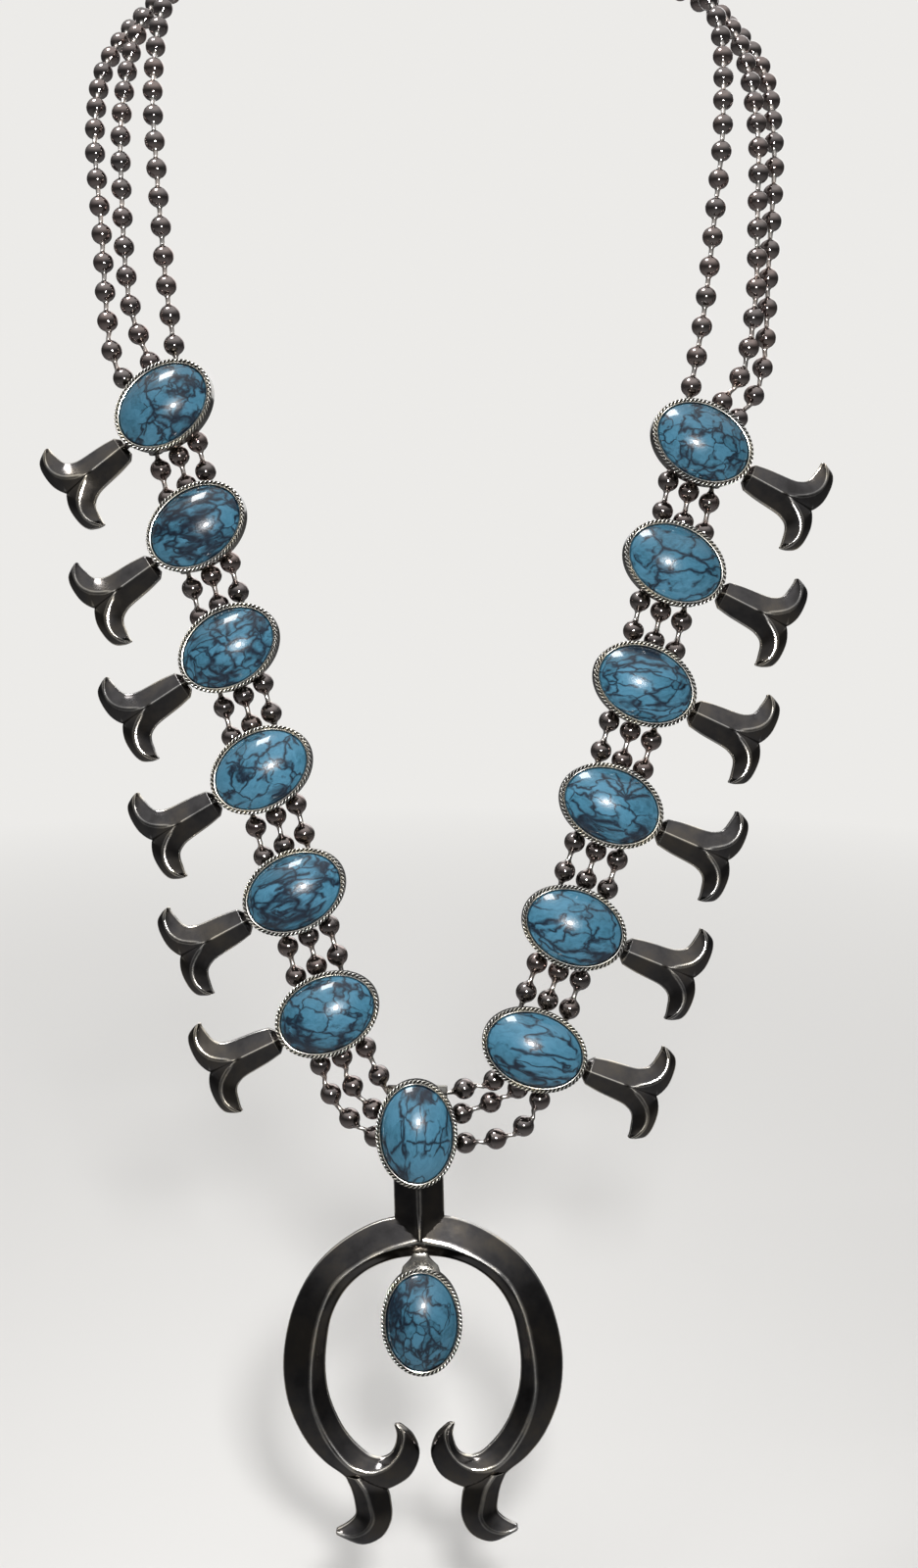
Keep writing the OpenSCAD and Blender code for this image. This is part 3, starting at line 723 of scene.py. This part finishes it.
def clasp():
    """The bar at the nape, rounded all round, with a bore for each strand."""
    height = 2 * STRAND_GAP + CLASP_T
    near = [(0, CLASP_ROUND), (0.3 * CLASP_ROUND, 0.3 * CLASP_ROUND), (CLASP_ROUND, 0)]
    far = [(CLASP_T - y, inset) for y, inset in near[::-1]]
    rings = []
    for y, inset in near + far:
        r = CLASP_CORNER - inset
        ring = []
        for k, (sx, sz) in enumerate(((1, 1), (-1, 1), (-1, -1), (1, -1))):
            for a in np.radians([90 * k + turn for turn in CORNER_TURNS]):
                x = sx * (CLASP_L / 2 - CLASP_CORNER) + r * math.cos(a)
                ring.append((x, y, sz * (height / 2 - CLASP_CORNER) + r * math.sin(a)))
        rings.append(ring)
    bar = Form()
    bar.grid(rings, caps=True)
    bores = []
    a = np.arange(BORE_SIDES) / BORE_SIDES * 2 * np.pi
    for k in (-1, 0, 1):
        y, z = CLASP_T / 2 + BORE_D / 2 * np.cos(a), k * STRAND_GAP + BORE_D / 2 * np.sin(a)
        ring = np.stack([0 * a, y, z], 1)
        bore = Form()
        bore.grid([ring - (CLASP_L, 0, 0), ring + (CLASP_L, 0, 0)], caps=True)
        bores.append(bore)
    return united([bar], bores)


# Materials


def nodes_of(name):
    """A new material, its node tree and its shader."""
    material = bpy.data.materials.new(name)
    material.use_nodes = True
    tree = material.node_tree
    tree.nodes.clear()
    shader = tree.nodes.new("ShaderNodeBsdfPrincipled")
    output = tree.nodes.new("ShaderNodeOutputMaterial")
    tree.links.new(shader.outputs[0], output.inputs[0])
    return material, tree, shader


def attribute(tree, name):
    made = tree.nodes.new("ShaderNodeAttribute")
    made.attribute_name = name
    return made


def math_node(tree, operation, a, b=None, c=None, clamp=False):
    made = tree.nodes.new("ShaderNodeMath")
    made.operation = operation
    made.use_clamp = clamp
    for socket, value in zip(made.inputs, (a, b, c)):
        put(tree, socket, value)
    return made.outputs[0]


def put(tree, socket, value):
    """Links or sets a value on a socket."""
    if value is None:
        return
    if isinstance(value, bpy.types.NodeSocket):
        tree.links.new(value, socket)
    else:
        socket.default_value = value


def noise(tree, vector, scale, detail, rough=0.5, distortion=0.0):
    made = tree.nodes.new("ShaderNodeTexNoise")
    put(tree, made.inputs["Vector"], vector)
    made.inputs["Scale"].default_value = scale
    made.inputs["Detail"].default_value = detail
    made.inputs["Roughness"].default_value = rough
    made.inputs["Distortion"].default_value = distortion
    return made


def ramp(tree, value, stops):
    """A colour ramp. Stops: position, then colour or grey value."""
    made = tree.nodes.new("ShaderNodeValToRGB")
    put(tree, made.inputs[0], value)
    elements = made.color_ramp.elements
    while len(elements) < len(stops):
        elements.new(0.5)
    for element, (at, colour) in zip(elements, stops):
        element.position = at
        element.color = (*colour, 1) if isinstance(colour, tuple) else (colour, colour, colour, 1)
    return made.outputs[0]


def mixed(tree, share, a, b, blend="MIX"):
    made = tree.nodes.new("ShaderNodeMix")
    made.data_type = "RGBA"
    made.blend_type = blend
    put(tree, made.inputs[0], share)
    for socket, value in ((made.inputs[6], a), (made.inputs[7], b)):
        put(tree, socket, (*value, 1) if isinstance(value, tuple) else value)
    return made.outputs[2]


def bump(tree, shader, height, strength, distance):
    made = tree.nodes.new("ShaderNodeBump")
    made.inputs["Strength"].default_value = strength
    made.inputs["Distance"].default_value = distance
    tree.links.new(height, made.inputs["Height"])
    tree.links.new(made.outputs[0], shader.inputs["Normal"])


def vector_node(tree, operation, a, b=None, c=None, scale=None):
    made = tree.nodes.new("ShaderNodeVectorMath")
    made.operation = operation
    for socket, value in zip(made.inputs, (a, b, c)):
        put(tree, socket, value)
    if scale is not None:
        put(tree, made.inputs["Scale"], scale)
    return made.outputs["Value" if operation in ("DOT_PRODUCT", "LENGTH", "DISTANCE") else "Vector"]


def turned(tree, vector, spot, degrees, size):
    """A vector in the place of a turned and stretched texture."""
    made = tree.nodes.new("ShaderNodeMapping")
    made.vector_type = "TEXTURE"
    tree.links.new(vector, made.inputs["Vector"])
    made.inputs["Location"].default_value = spot
    made.inputs["Rotation"].default_value = (0, 0, math.radians(degrees))
    made.inputs["Scale"].default_value = size
    return made.outputs[0]


def shaken(tree, vector, source, scale, detail, reach):
    """A vector moved by noise, both ways, by up to about half of reach."""
    wobble = noise(tree, source, scale, detail).outputs[1]
    centred = vector_node(tree, "SUBTRACT", wobble, (0.5, 0.5, 0.5))
    return vector_node(tree, "MULTIPLY_ADD", centred, (reach, reach, reach), vector)


def line_distance(tree, vector, a, b):
    """The distance of a vector from the straight line between two points, across and up."""
    way = (b[0] - a[0], b[1] - a[1], 0)
    square = way[0] ** 2 + way[1] ** 2
    level = vector_node(tree, "MULTIPLY", vector, (1, 1, 0))
    gone = vector_node(tree, "SUBTRACT", level, (a[0], a[1], 0))
    share = math_node(tree, "MULTIPLY", vector_node(tree, "DOT_PRODUCT", gone, way), 1 / square, clamp=True)
    near = vector_node(tree, "SCALE", way, scale=share)
    return vector_node(tree, "DISTANCE", gone, near)


STAIN_SCALE = 110
GRAIN_SCALE = 900
LEAST_ROUGH = 0.05


def metal(name, recess, flat, edge, rough, spread, stain, mottle):
    """Antiqued metal: dark in its recesses, bright on its worn edges, with stains and a mottled sheen."""
    material, tree, shader = nodes_of(name)
    place = tree.nodes.new("ShaderNodeTexCoord").outputs["Object"]
    # Colour: wear first, then stains and mottling over it
    broad = noise(tree, place, STAIN_SCALE, detail=5, rough=0.62).outputs[0]
    fine = noise(tree, place, GRAIN_SCALE, detail=3, rough=0.6).outputs[0]
    wear = attribute(tree, "wear").outputs["Fac"]
    worn = math_node(tree, "ADD", wear, math_node(tree, "MULTIPLY_ADD", broad, 0.3, -0.15), clamp=True)
    colour = ramp(tree, worn, [(0.12, recess), (0.42, flat), (0.6, flat), (0.95, edge)])
    stained = ramp(tree, broad, [(0.42, (1, 1, 1)), (0.62, stain)])
    colour = mixed(tree, 1.0, colour, stained, "MULTIPLY")
    shade = ramp(tree, broad, [(0.3, 1 - mottle), (0.7, 1.0)])
    colour = mixed(tree, 1.0, colour, shade, "MULTIPLY")
    tree.links.new(colour, shader.inputs["Base Color"])
    shader.inputs["Metallic"].default_value = 1.0
    # Roughness: within spread of rough, and duller where the wear is strongest
    uneven = math_node(tree, "MULTIPLY_ADD", fine, 0.4, math_node(tree, "MULTIPLY", broad, 0.6))
    sheen = math_node(tree, "MULTIPLY_ADD", uneven, 2 * spread, rough - spread)
    rubbed = math_node(tree, "MAXIMUM", math_node(tree, "MULTIPLY_ADD", wear, 0.4, -0.24), 0.0)
    sheen = math_node(tree, "ADD", sheen, rubbed)
    tree.links.new(math_node(tree, "MAXIMUM", sheen, LEAST_ROUGH), shader.inputs["Roughness"])
    bump(tree, shader, fine, strength=0.1, distance=0.1 * MM)
    return material


# Columns: place on a ramp, then colour
BLUES = [
    (0.25, (0.009, 0.027, 0.044)),
    (0.42, (0.016, 0.057, 0.087)),
    (0.6, (0.025, 0.086, 0.13)),
    (0.88, (0.037, 0.113, 0.17)),
]
VEIN_TONES = [
    (0.35, (0.002, 0.004, 0.009)),
    (0.6, (0.006, 0.013, 0.023)),
    (0.75, (0.016, 0.036, 0.053)),
]
PATCH_FADE = 1.6
SEED_STEP = (17.3, 9.1)


def stone_material(name, seed, chip, turn, stretch, dark, patches, veins):
    """Blue cabochon material. chip is a chip's size in mm, turn and stretch shape the streaks, and
    dark is the share of dark. Patches are places of dark, or of clear blue where the depth is below
    0: x, y and radius in mm, and depth. Veins are dark lines: their points in mm."""
    material, tree, shader = nodes_of(name)
    place = attribute(tree, "place").outputs["Vector"]
    spot = turned(tree, place, (seed * SEED_STEP[0], seed * SEED_STEP[1], 0), turn, (stretch, 1, 1))
    broad = shaken(tree, spot, spot, scale=0.16, detail=2, reach=7)
    wavy = shaken(tree, broad, spot, scale=0.5, detail=2, reach=2.4)

    # Chips, each of its own blue, with streaks and lines through them
    cells = tree.nodes.new("ShaderNodeTexVoronoi")
    edges = tree.nodes.new("ShaderNodeTexVoronoi")
    edges.feature = "DISTANCE_TO_EDGE"
    for v in (cells, edges):
        tree.links.new(wavy, v.inputs["Vector"])
        v.inputs["Scale"].default_value = 1 / chip
        v.inputs["Randomness"].default_value = 0.95
    tint = tree.nodes.new("ShaderNodeSeparateColor")
    tree.links.new(cells.outputs["Color"], tint.inputs[0])
    cloud = noise(tree, broad, scale=0.28, detail=4, rough=0.55).outputs[0]
    streak = noise(tree, wavy, scale=0.9, detail=4, rough=0.6).outputs[0]
    drawn_out = turned(tree, wavy, (0, 0, 0), degrees=0, size=(5, 0.9, 1))
    lines = noise(tree, drawn_out, scale=1.0, detail=3, rough=0.6, distortion=0.4).outputs[0]
    tone = math_node(tree, "MULTIPLY_ADD", tint.outputs[0], 0.3, 0.08)
    tone = math_node(tree, "MULTIPLY_ADD", streak, 0.95, tone)
    blue = ramp(tree, tone, BLUES)

    # How far a point is into the dark, from clouds and from the patches
    depth = math_node(tree, "MULTIPLY_ADD", cloud, 1.6, dark - 0.92)
    for x, y, radius, deep in patches:
        away = vector_node(tree, "DISTANCE", place, (x, y, 0))
        near = math_node(tree, "MULTIPLY_ADD", away, -PATCH_FADE / radius, PATCH_FADE, clamp=True)
        depth = math_node(tree, "MULTIPLY_ADD", near, deep, depth)

    # Veins between the chips, wider in the dark, and swirls there
    shown = math_node(tree, "MULTIPLY_ADD", depth, 5, 1.4, clamp=True)
    width = math_node(tree, "MULTIPLY_ADD", streak, 0.2, -0.03)
    width = math_node(tree, "MULTIPLY_ADD", math_node(tree, "MAXIMUM", depth, 0.0), 0.5, width)
    width = math_node(tree, "MAXIMUM", width, 0.02)
    gap = math_node(tree, "DIVIDE", edges.outputs["Distance"], width)
    vein = math_node(tree, "SUBTRACT", 1.15, gap, clamp=True)
    vein = math_node(tree, "MULTIPLY", vein, shown)
    swirl = math_node(tree, "MULTIPLY_ADD", depth, 2.2, -0.15, clamp=True)
    swirl = math_node(tree, "MULTIPLY", swirl, ramp(tree, lines, [(0.44, 0.0), (0.58, 1.0)]))
    vein = math_node(tree, "MAXIMUM", vein, swirl)

    # Veins drawn from point to point
    wobbly = shaken(tree, place, spot, scale=0.35, detail=3, reach=3)
    thick = math_node(tree, "MULTIPLY_ADD", streak, 1.3, -0.18)
    for line in veins:
        for a, b in zip(line, line[1:]):
            far = line_distance(tree, wobbly, a, b)
            stroke = math_node(tree, "SUBTRACT", 1.2, math_node(tree, "DIVIDE", far, thick), clamp=True)
            vein = math_node(tree, "MAXIMUM", vein, stroke)

    colour = mixed(tree, vein, blue, ramp(tree, streak, VEIN_TONES))
    tree.links.new(colour, shader.inputs["Base Color"])
    shader.inputs["Roughness"].default_value = 0.28
    shader.inputs["Specular IOR Level"].default_value = 0.25
    shader.inputs["Coat Weight"].default_value = 0.8
    shader.inputs["Coat Roughness"].default_value = 0.04
    grain = noise(tree, place, scale=1.8, detail=5, rough=0.7).outputs[0]
    bump(tree, shader, grain, strength=0.5, distance=0.09 * MM)
    return material


# Pieces


def seat_points(form, matrix):
    """Each point of a form from the middle of its seat, across, up and out, in mm."""
    level = matrix.copy()
    out = np.array(matrix.col[2][:3])
    right = across(out, (1, 0, 0))
    level.col[0], level.col[1] = (*right, 0), (*np.cross(out, right), 0)
    back = level.inverted()
    return [[v / MM for v in back @ Vector(p)] for p in form.points]


SETTING_METAL = metal(
    "antiqued silver", recess=(0.012, 0.011, 0.01), flat=(0.36, 0.35, 0.325), edge=(1, 0.98, 0.94),
    rough=0.17, spread=0.1, stain=(1, 0.96, 0.86), mottle=0.25,
)
DARK_METAL = metal(
    "dark casting", recess=(0.045, 0.042, 0.04), flat=(0.15, 0.144, 0.146), edge=(0.95, 0.93, 0.9),
    rough=0.14, spread=0.06, stain=(1, 0.93, 0.8), mottle=0.5,
)
BEAD_METAL = metal(
    "dark beads", recess=(0.08, 0.07, 0.068), flat=(0.38, 0.34, 0.33), edge=(0.8, 0.77, 0.73),
    rough=0.08, spread=0.03, stain=(1, 0.9, 0.86), mottle=0.35,
)

# Columns: seed, chip in mm, turn, stretch, share of dark, patches, then veins. Places are across and
# up from a stone's middle, as seen from the front.
STONES = {
    "stone_left_1": (
        1, 3.6, 20, 1.3, 0.20,
        [(-7.2, -1, 6.5, -1.5), (-3.4, -6.5, 3, -1), (5.5, -5, 6, 0.5)],
        [[(-3.7, 6.5), (-2.7, 3), (-0.9, -2), (-4.2, -7.5)], [(-0.9, -2), (2.8, -1.5), (7.5, 2)]],
    ),
    "stone_left_2": (
        2, 3.0, 12, 2.2, 0.34,
        [(1, -2, 9, 0.55), (-8, -6.2, 3.5, -0.9), (-3, -7.2, 2.6, -0.9), (-3, 3.6, 4, -0.5)],
        [[(-9, -2.5), (-2, -2.6), (4, 0)], [(-7, -5), (1, -6)]],
    ),
    "stone_left_3": (
        3, 3.4, 25, 1.5, 0.26,
        [(-4.5, 3, 3.4, -0.9), (-6.2, -2.6, 2.4, -0.8), (-1, -6.5, 6, 0.4), (6.5, 6, 4, 0.4)],
        [[(-8, -0.5), (-4, -0.3), (-3.6, -4)]],
    ),
    "stone_left_4": (
        4, 4.6, 40, 1.3, 0.12,
        [(0.3, 4, 4.5, -0.5), (-8, -1, 3.4, -1), (9, 3, 3.4, -1), (4.3, -5, 4, 1.1)],
        [[(7.3, 7.5), (5.8, 2), (-0.2, -2.5)], [(-8.5, 2), (0.3, 0), (5, 1)]],
    ),
    "stone_left_5": (
        5, 3.6, 25, 2.4, 0.26,
        [(1.3, 6.3, 3.6, -0.9), (8.8, 0, 3, -1), (-8.5, 3, 3, -0.9), (-2.5, -5, 8, 0.6)],
        [[(-8, 1), (-2, 3.2), (4, 5)], [(-10, -3), (-2, -2), (9, 4)]],
    ),
    "stone_left_6": (
        6, 3.8, -15, 1.4, 0.16,
        [(0, 4, 5, -0.25), (-6.5, -6, 7, 0.75), (5, -7, 5, 0.4)],
        [],
    ),
    "centre_stone": (
        7, 4.2, 88, 2.2, 0.10,
        [
            (-6.4, 4, 4.5, -1.2), (4.8, 4.6, 4, -1.2), (2.6, -6, 4.6, -0.9), (-1.8, 0, 3.6, 0.6),
            (1, 9.5, 4, 0.9), (-3.5, -9, 4, 0.5),
        ],
        [[(-3.9, 8), (-3.2, -1), (-6, -4.5)], [(-2, -1), (8.5, -1.4)], [(7.4, 8), (7.6, 0)]],
    ),
    "stone_right_1": (
        9, 3.4, -10, 1.2, 0.20,
        [(-5, 7, 3.6, -0.8), (4, 3, 5, -0.1), (0, -6, 6, 0.15)],
        [],
    ),
    "stone_right_2": (
        10, 6.5, 0, 1.5, 0.02,
        [(0, 5.4, 3.6, -0.8), (1, -5, 4, -0.8), (2, -0.4, 3, -0.8)],
        [
            [(-6.5, 8), (-4, 3), (5.5, 0.6), (10, 1.8)], [(-5.2, -3.2), (2, -2.4), (10.5, -3)],
            [(-5.2, -3.2), (-5.5, -8)], [(-4, 3), (-8, -1)],
        ],
    ),
    "stone_right_3": (
        11, 3.8, 2, 2.0, 0.20,
        [(0, 5.2, 6, 0.4), (3.3, -1.8, 4.6, -0.5), (-6, -5, 4, 0.2)],
        [[(-9, 4.6), (-2, 5), (8, 3.8)], [(-8, 2.8), (3, 2.8)]],
    ),
    "stone_right_4": (
        12, 4.4, -12, 1.8, 0.10,
        [(9, 0, 4, -0.9), (-5.5, 7.4, 3.6, -0.8), (-6, -5, 6, 0.6), (6, -6.6, 5, 0.6)],
        [
            [(2.5, 1.8), (1, 7.8)], [(2.5, 1.8), (5, 7.6)], [(2.5, 1.8), (8, 5)], [(2.5, 1.8), (-2, 6)],
            [(2.5, 1.8), (9, 2.4)], [(-10, 1.5), (-5, -4.5), (4, -7)],
        ],
    ),
    "stone_right_5": (
        13, 4.8, -8, 1.5, 0.10,
        [(-2, 5, 6, -0.3), (5, -7, 6, 0.6), (7, 1, 4, -0.2)],
        [[(-10.5, 0), (-3, -5), (10, -7)], [(-9, -3), (-1, -7.4), (7, -8.4)], [(5, 0), (2, -5)]],
    ),
    "stone_right_6": (
        14, 4.8, -14, 2.4, 0.08,
        [(0, -7, 6, 0.5), (-5, 4, 5, -0.5), (6, 2, 5, 0.1)],
        [[(-10, -1), (-2, -6), (8, -7)], [(-6, 1), (4, -1), (10, -2)]],
    ),
    "drop_stone": (
        8, 3.4, 70, 1.3, 0.20,
        [(-5, 1, 6.5, 0.6), (4.4, 7.4, 4, -1), (5.8, -1.6, 4.6, -1), (-2, 9.5, 4, 0.6)],
        [
            [(1.4, 9), (1, 3), (2.4, -3), (0, -8)], [(1, 3), (-4, 4)], [(2.4, -3), (6, -6)],
            [(0, -8), (-4, -5)],
        ],
    ),
}

# The centre's plate along its stone, then the rivet to the naja and the pegs of the blossoms
CENTRE_PLATE = (-5.9 * MM, 10.9 * MM)
RIVET_X = -9.4 * MM
RIVET_LAP = 0.15 * MM
RIVET_R = 1 * MM
SOCKET_SPAN = (3.05 * MM, 0.65 * MM)
SOCKET_R = 1.7 * MM
SOCKET_BORE = 0.9 * MM
PEG_SPAN = (BLOSSOM_GAP + 0.4 * MM, -3.6 * MM)
PEG_R = 0.8 * MM
PIN_BORE = 0.05 * MM

SEATS = {node: seat(node) for node in STONES}
SIDE_OF = {node: next((side for row, side in SIDES.items() if row in node), 0) for node in STONES}
CUP_OF = {node: node.replace("stone", "setting") for node in STONES}
CUP_OF["centre_stone"] = "centre_setting"
PATHS = {name: thread_path(f"thread_{name}") for name in STRANDS}
FLAGS = {name: bead_flags(PATHS[name], f"beads_{name}") for name in STRANDS}

for node, matrix in SEATS.items():
    cabochon = stone().moved(matrix)
    look = stone_material(node, *STONES[node])
    piece(f"gem_{node}", cabochon, look, [node], local=seat_points(cabochon, matrix))

cups = {node: cup().moved(SEATS[node]) for node in STONES}
reach = STRAND_GAP + TUBE_D / 2
for node in STONES:
    if node != "drop_stone":
        span = CENTRE_PLATE if node == "centre_stone" else (-reach, reach)
        cups[node].merge(saddle(*span).moved(SEATS[node]))
rivet_ends = [SEATS["centre_stone"] @ Vector((RIVET_X, 0, z)) for z in (NAJA_Z - RIVET_LAP, -CUP_DEPTH)]
cups["centre_stone"].merge(sleeve(*rivet_ends, RIVET_R, PIN_BORE))
for name in STRANDS:
    path, beads = PATHS[name], FLAGS[name]
    mouths = [i for i in range(2, len(path) - 3) if not beads[i] and not beads[i + 1]]
    for i in mouths:
        middle = Vector((path[i] + path[i + 1]) / 2)
        near = min(STONES, key=lambda node: (SEATS[node].translation - middle).length)
        cups[near].merge(sleeve(path[i], path[i + 1], TUBE_D / 2, BORE_D / 2))
for node, side in SIDE_OF.items():
    if side:
        spots = [(side * (BUTT_X - d), -BLOSSOM_DROP, PEG_Z) for d in SOCKET_SPAN]
        ends = [SEATS[node] @ Vector(p) for p in spots]
        cups[node].merge(sleeve(*ends, SOCKET_R, SOCKET_BORE, square=True))
    if node != "drop_stone":
        piece(f"cup_{CUP_OF[node]}", cups[node], SETTING_METAL, [CUP_OF[node]])

squash = form_of(blossom())
for node, side in SIDE_OF.items():
    if not side:
        continue
    matrix = SEATS[node]
    place = Matrix.Translation((side * (BUTT_X + BLOSSOM_GAP), -BLOSSOM_DROP, BLOSSOM_Z))
    place = place @ Matrix.Rotation(math.pi if side < 0 else 0, 4, "Z")
    name = node.replace("stone", "blossom")
    petals = squash.moved(matrix @ place)
    peg = [matrix @ Vector((side * (BUTT_X + d), -BLOSSOM_DROP, PEG_Z)) for d in PEG_SPAN]
    petals.merge(sleeve(*peg, PEG_R, PIN_BORE))
    piece(f"trumpet_{name}", petals, DARK_METAL, [name])

middle = SEATS["centre_stone"]
pendant = middle.copy()
pendant.col[0], pendant.col[1] = -middle.col[1], middle.col[0]
shape = form_of(crescent()).moved(pendant @ Matrix.Translation((0, 0, NAJA_Z)))
dark_faces = len(shape.faces)
shape.merge(cups["drop_stone"])
shape.merge(fan().moved(pendant @ Matrix.Translation(DROP_AT)))
skin = piece("naja_skin", shape, DARK_METAL, ["naja"])
skin.data.materials.append(SETTING_METAL)
for face in skin.data.polygons[dark_faces:]:
    face.material_index = 1

piece("clasp_bar", form_of(clasp()), SETTING_METAL, ["clasp"])

for name in STRANDS:
    form = strand(PATHS[name], FLAGS[name])
    replaced = [f"beads_{name}", f"thread_{name}"]
    piece(f"balls_{name}", form, BEAD_METAL, replaced)


# Stage


PALE = (0.84, 0.83, 0.81)
FLOOR_COLOUR = (0.62, 0.61, 0.595)
FLOOR_SIZE = 24
FLOOR_Z = -0.47
# The floor evens out from this distance in metres. Columns: distance after it, then share of even light.
EVEN_FROM = 0.15
EVEN_RISE = [(0.0, 0.0), (0.75, 1.0)]


def floor_material():
    """Pale and matt near the necklace, and with distance as even as the pale world behind."""
    material, tree, shader = nodes_of("pale floor")
    shader.inputs["Base Color"].default_value = (*FLOOR_COLOUR, 1)
    shader.inputs["Roughness"].default_value = 0.8
    place = tree.nodes.new("ShaderNodeTexCoord").outputs["Object"]
    away = vector_node(tree, "LENGTH", place)
    share = ramp(tree, math_node(tree, "SUBTRACT", away, EVEN_FROM), EVEN_RISE)
    even = tree.nodes.new("ShaderNodeEmission")
    even.inputs[0].default_value = (*PALE, 1)
    both = tree.nodes.new("ShaderNodeMixShader")
    put(tree, both.inputs[0], share)
    tree.links.new(shader.outputs[0], both.inputs[1])
    tree.links.new(even.outputs[0], both.inputs[2])
    output = next(n for n in tree.nodes if n.type == "OUTPUT_MATERIAL")
    tree.links.new(both.outputs[0], output.inputs[0])
    return material


bpy.ops.mesh.primitive_plane_add(size=FLOOR_SIZE, location=(0, 0, FLOOR_Z))
floor = bpy.context.object
floor.data.materials.append(floor_material())
floor.visible_glossy = False

# Columns: name, place, width in metres, power in watts and spread in degrees
LAMPS = [
    ("flash", (0.04, -0.52, -0.11), 0.045, 0.9, 90),
    ("overhead", (-0.35, -0.12, 0.8), 0.32, 5.6, 180),
    ("behind", (0.25, 0.85, 0.2), 0.9, 1.2, 100),
]
HEART = (0, -0.13, -0.24)


def area_light(name, spot, size, power, spread):
    """A square lamp that looks at the middle of the necklace."""
    data = bpy.data.lights.new(name, "AREA")
    data.size, data.energy, data.spread = size, power, math.radians(spread)
    made = bpy.data.objects.new(name, data)
    made.location = spot
    made.rotation_euler = (Vector(HEART) - Vector(spot)).to_track_quat("-Z", "Y").to_euler()
    bpy.context.scene.collection.objects.link(made)
    return made


lights = [area_light(*lamp) for lamp in LAMPS]

# Columns: height in the sky, from straight down to straight up, then brightness
SKY = [(0.0, 0.3), (0.3, 0.16), (0.45, 0.07), (0.58, 0.08), (0.74, 0.3), (0.92, 0.8)]


def room():
    """A world that looks pale and even, and lights the necklace with a darker sky."""
    made = bpy.data.worlds.new("pale room")
    made.use_nodes = True
    tree = made.node_tree
    tree.nodes.clear()
    shown = tree.nodes.new("ShaderNodeBackground")
    shown.inputs[0].default_value = (*PALE, 1)
    felt = tree.nodes.new("ShaderNodeBackground")
    parts = tree.nodes.new("ShaderNodeSeparateXYZ")
    tree.links.new(tree.nodes.new("ShaderNodeTexCoord").outputs["Generated"], parts.inputs[0])
    height = math_node(tree, "MULTIPLY_ADD", parts.outputs[2], 0.5, 0.5)
    tree.links.new(ramp(tree, height, SKY), felt.inputs[0])
    rays = tree.nodes.new("ShaderNodeLightPath")
    choice = tree.nodes.new("ShaderNodeMixShader")
    tree.links.new(rays.outputs["Is Camera Ray"], choice.inputs[0])
    tree.links.new(felt.outputs[0], choice.inputs[1])
    tree.links.new(shown.outputs[0], choice.inputs[2])
    output = tree.nodes.new("ShaderNodeOutputWorld")
    tree.links.new(choice.outputs[0], output.inputs[0])
    return made


bpy.context.scene.world = room()

FOCAL_MM = 46.9
CAMERA_AT = Vector((0.0096, -0.6133, -0.1301))
CAMERA_AIM = Vector((0.0096, -0.1242, -0.2341))

lens = bpy.data.cameras.new("camera")
lens.lens = FOCAL_MM
camera = bpy.data.objects.new("camera", lens)
camera.location = CAMERA_AT
camera.rotation_euler = (CAMERA_AIM - CAMERA_AT).to_track_quat("-Z", "Y").to_euler()
bpy.context.scene.collection.objects.link(camera)
bpy.context.scene.camera = camera
bpy.context.scene.view_settings.view_transform = "Standard"
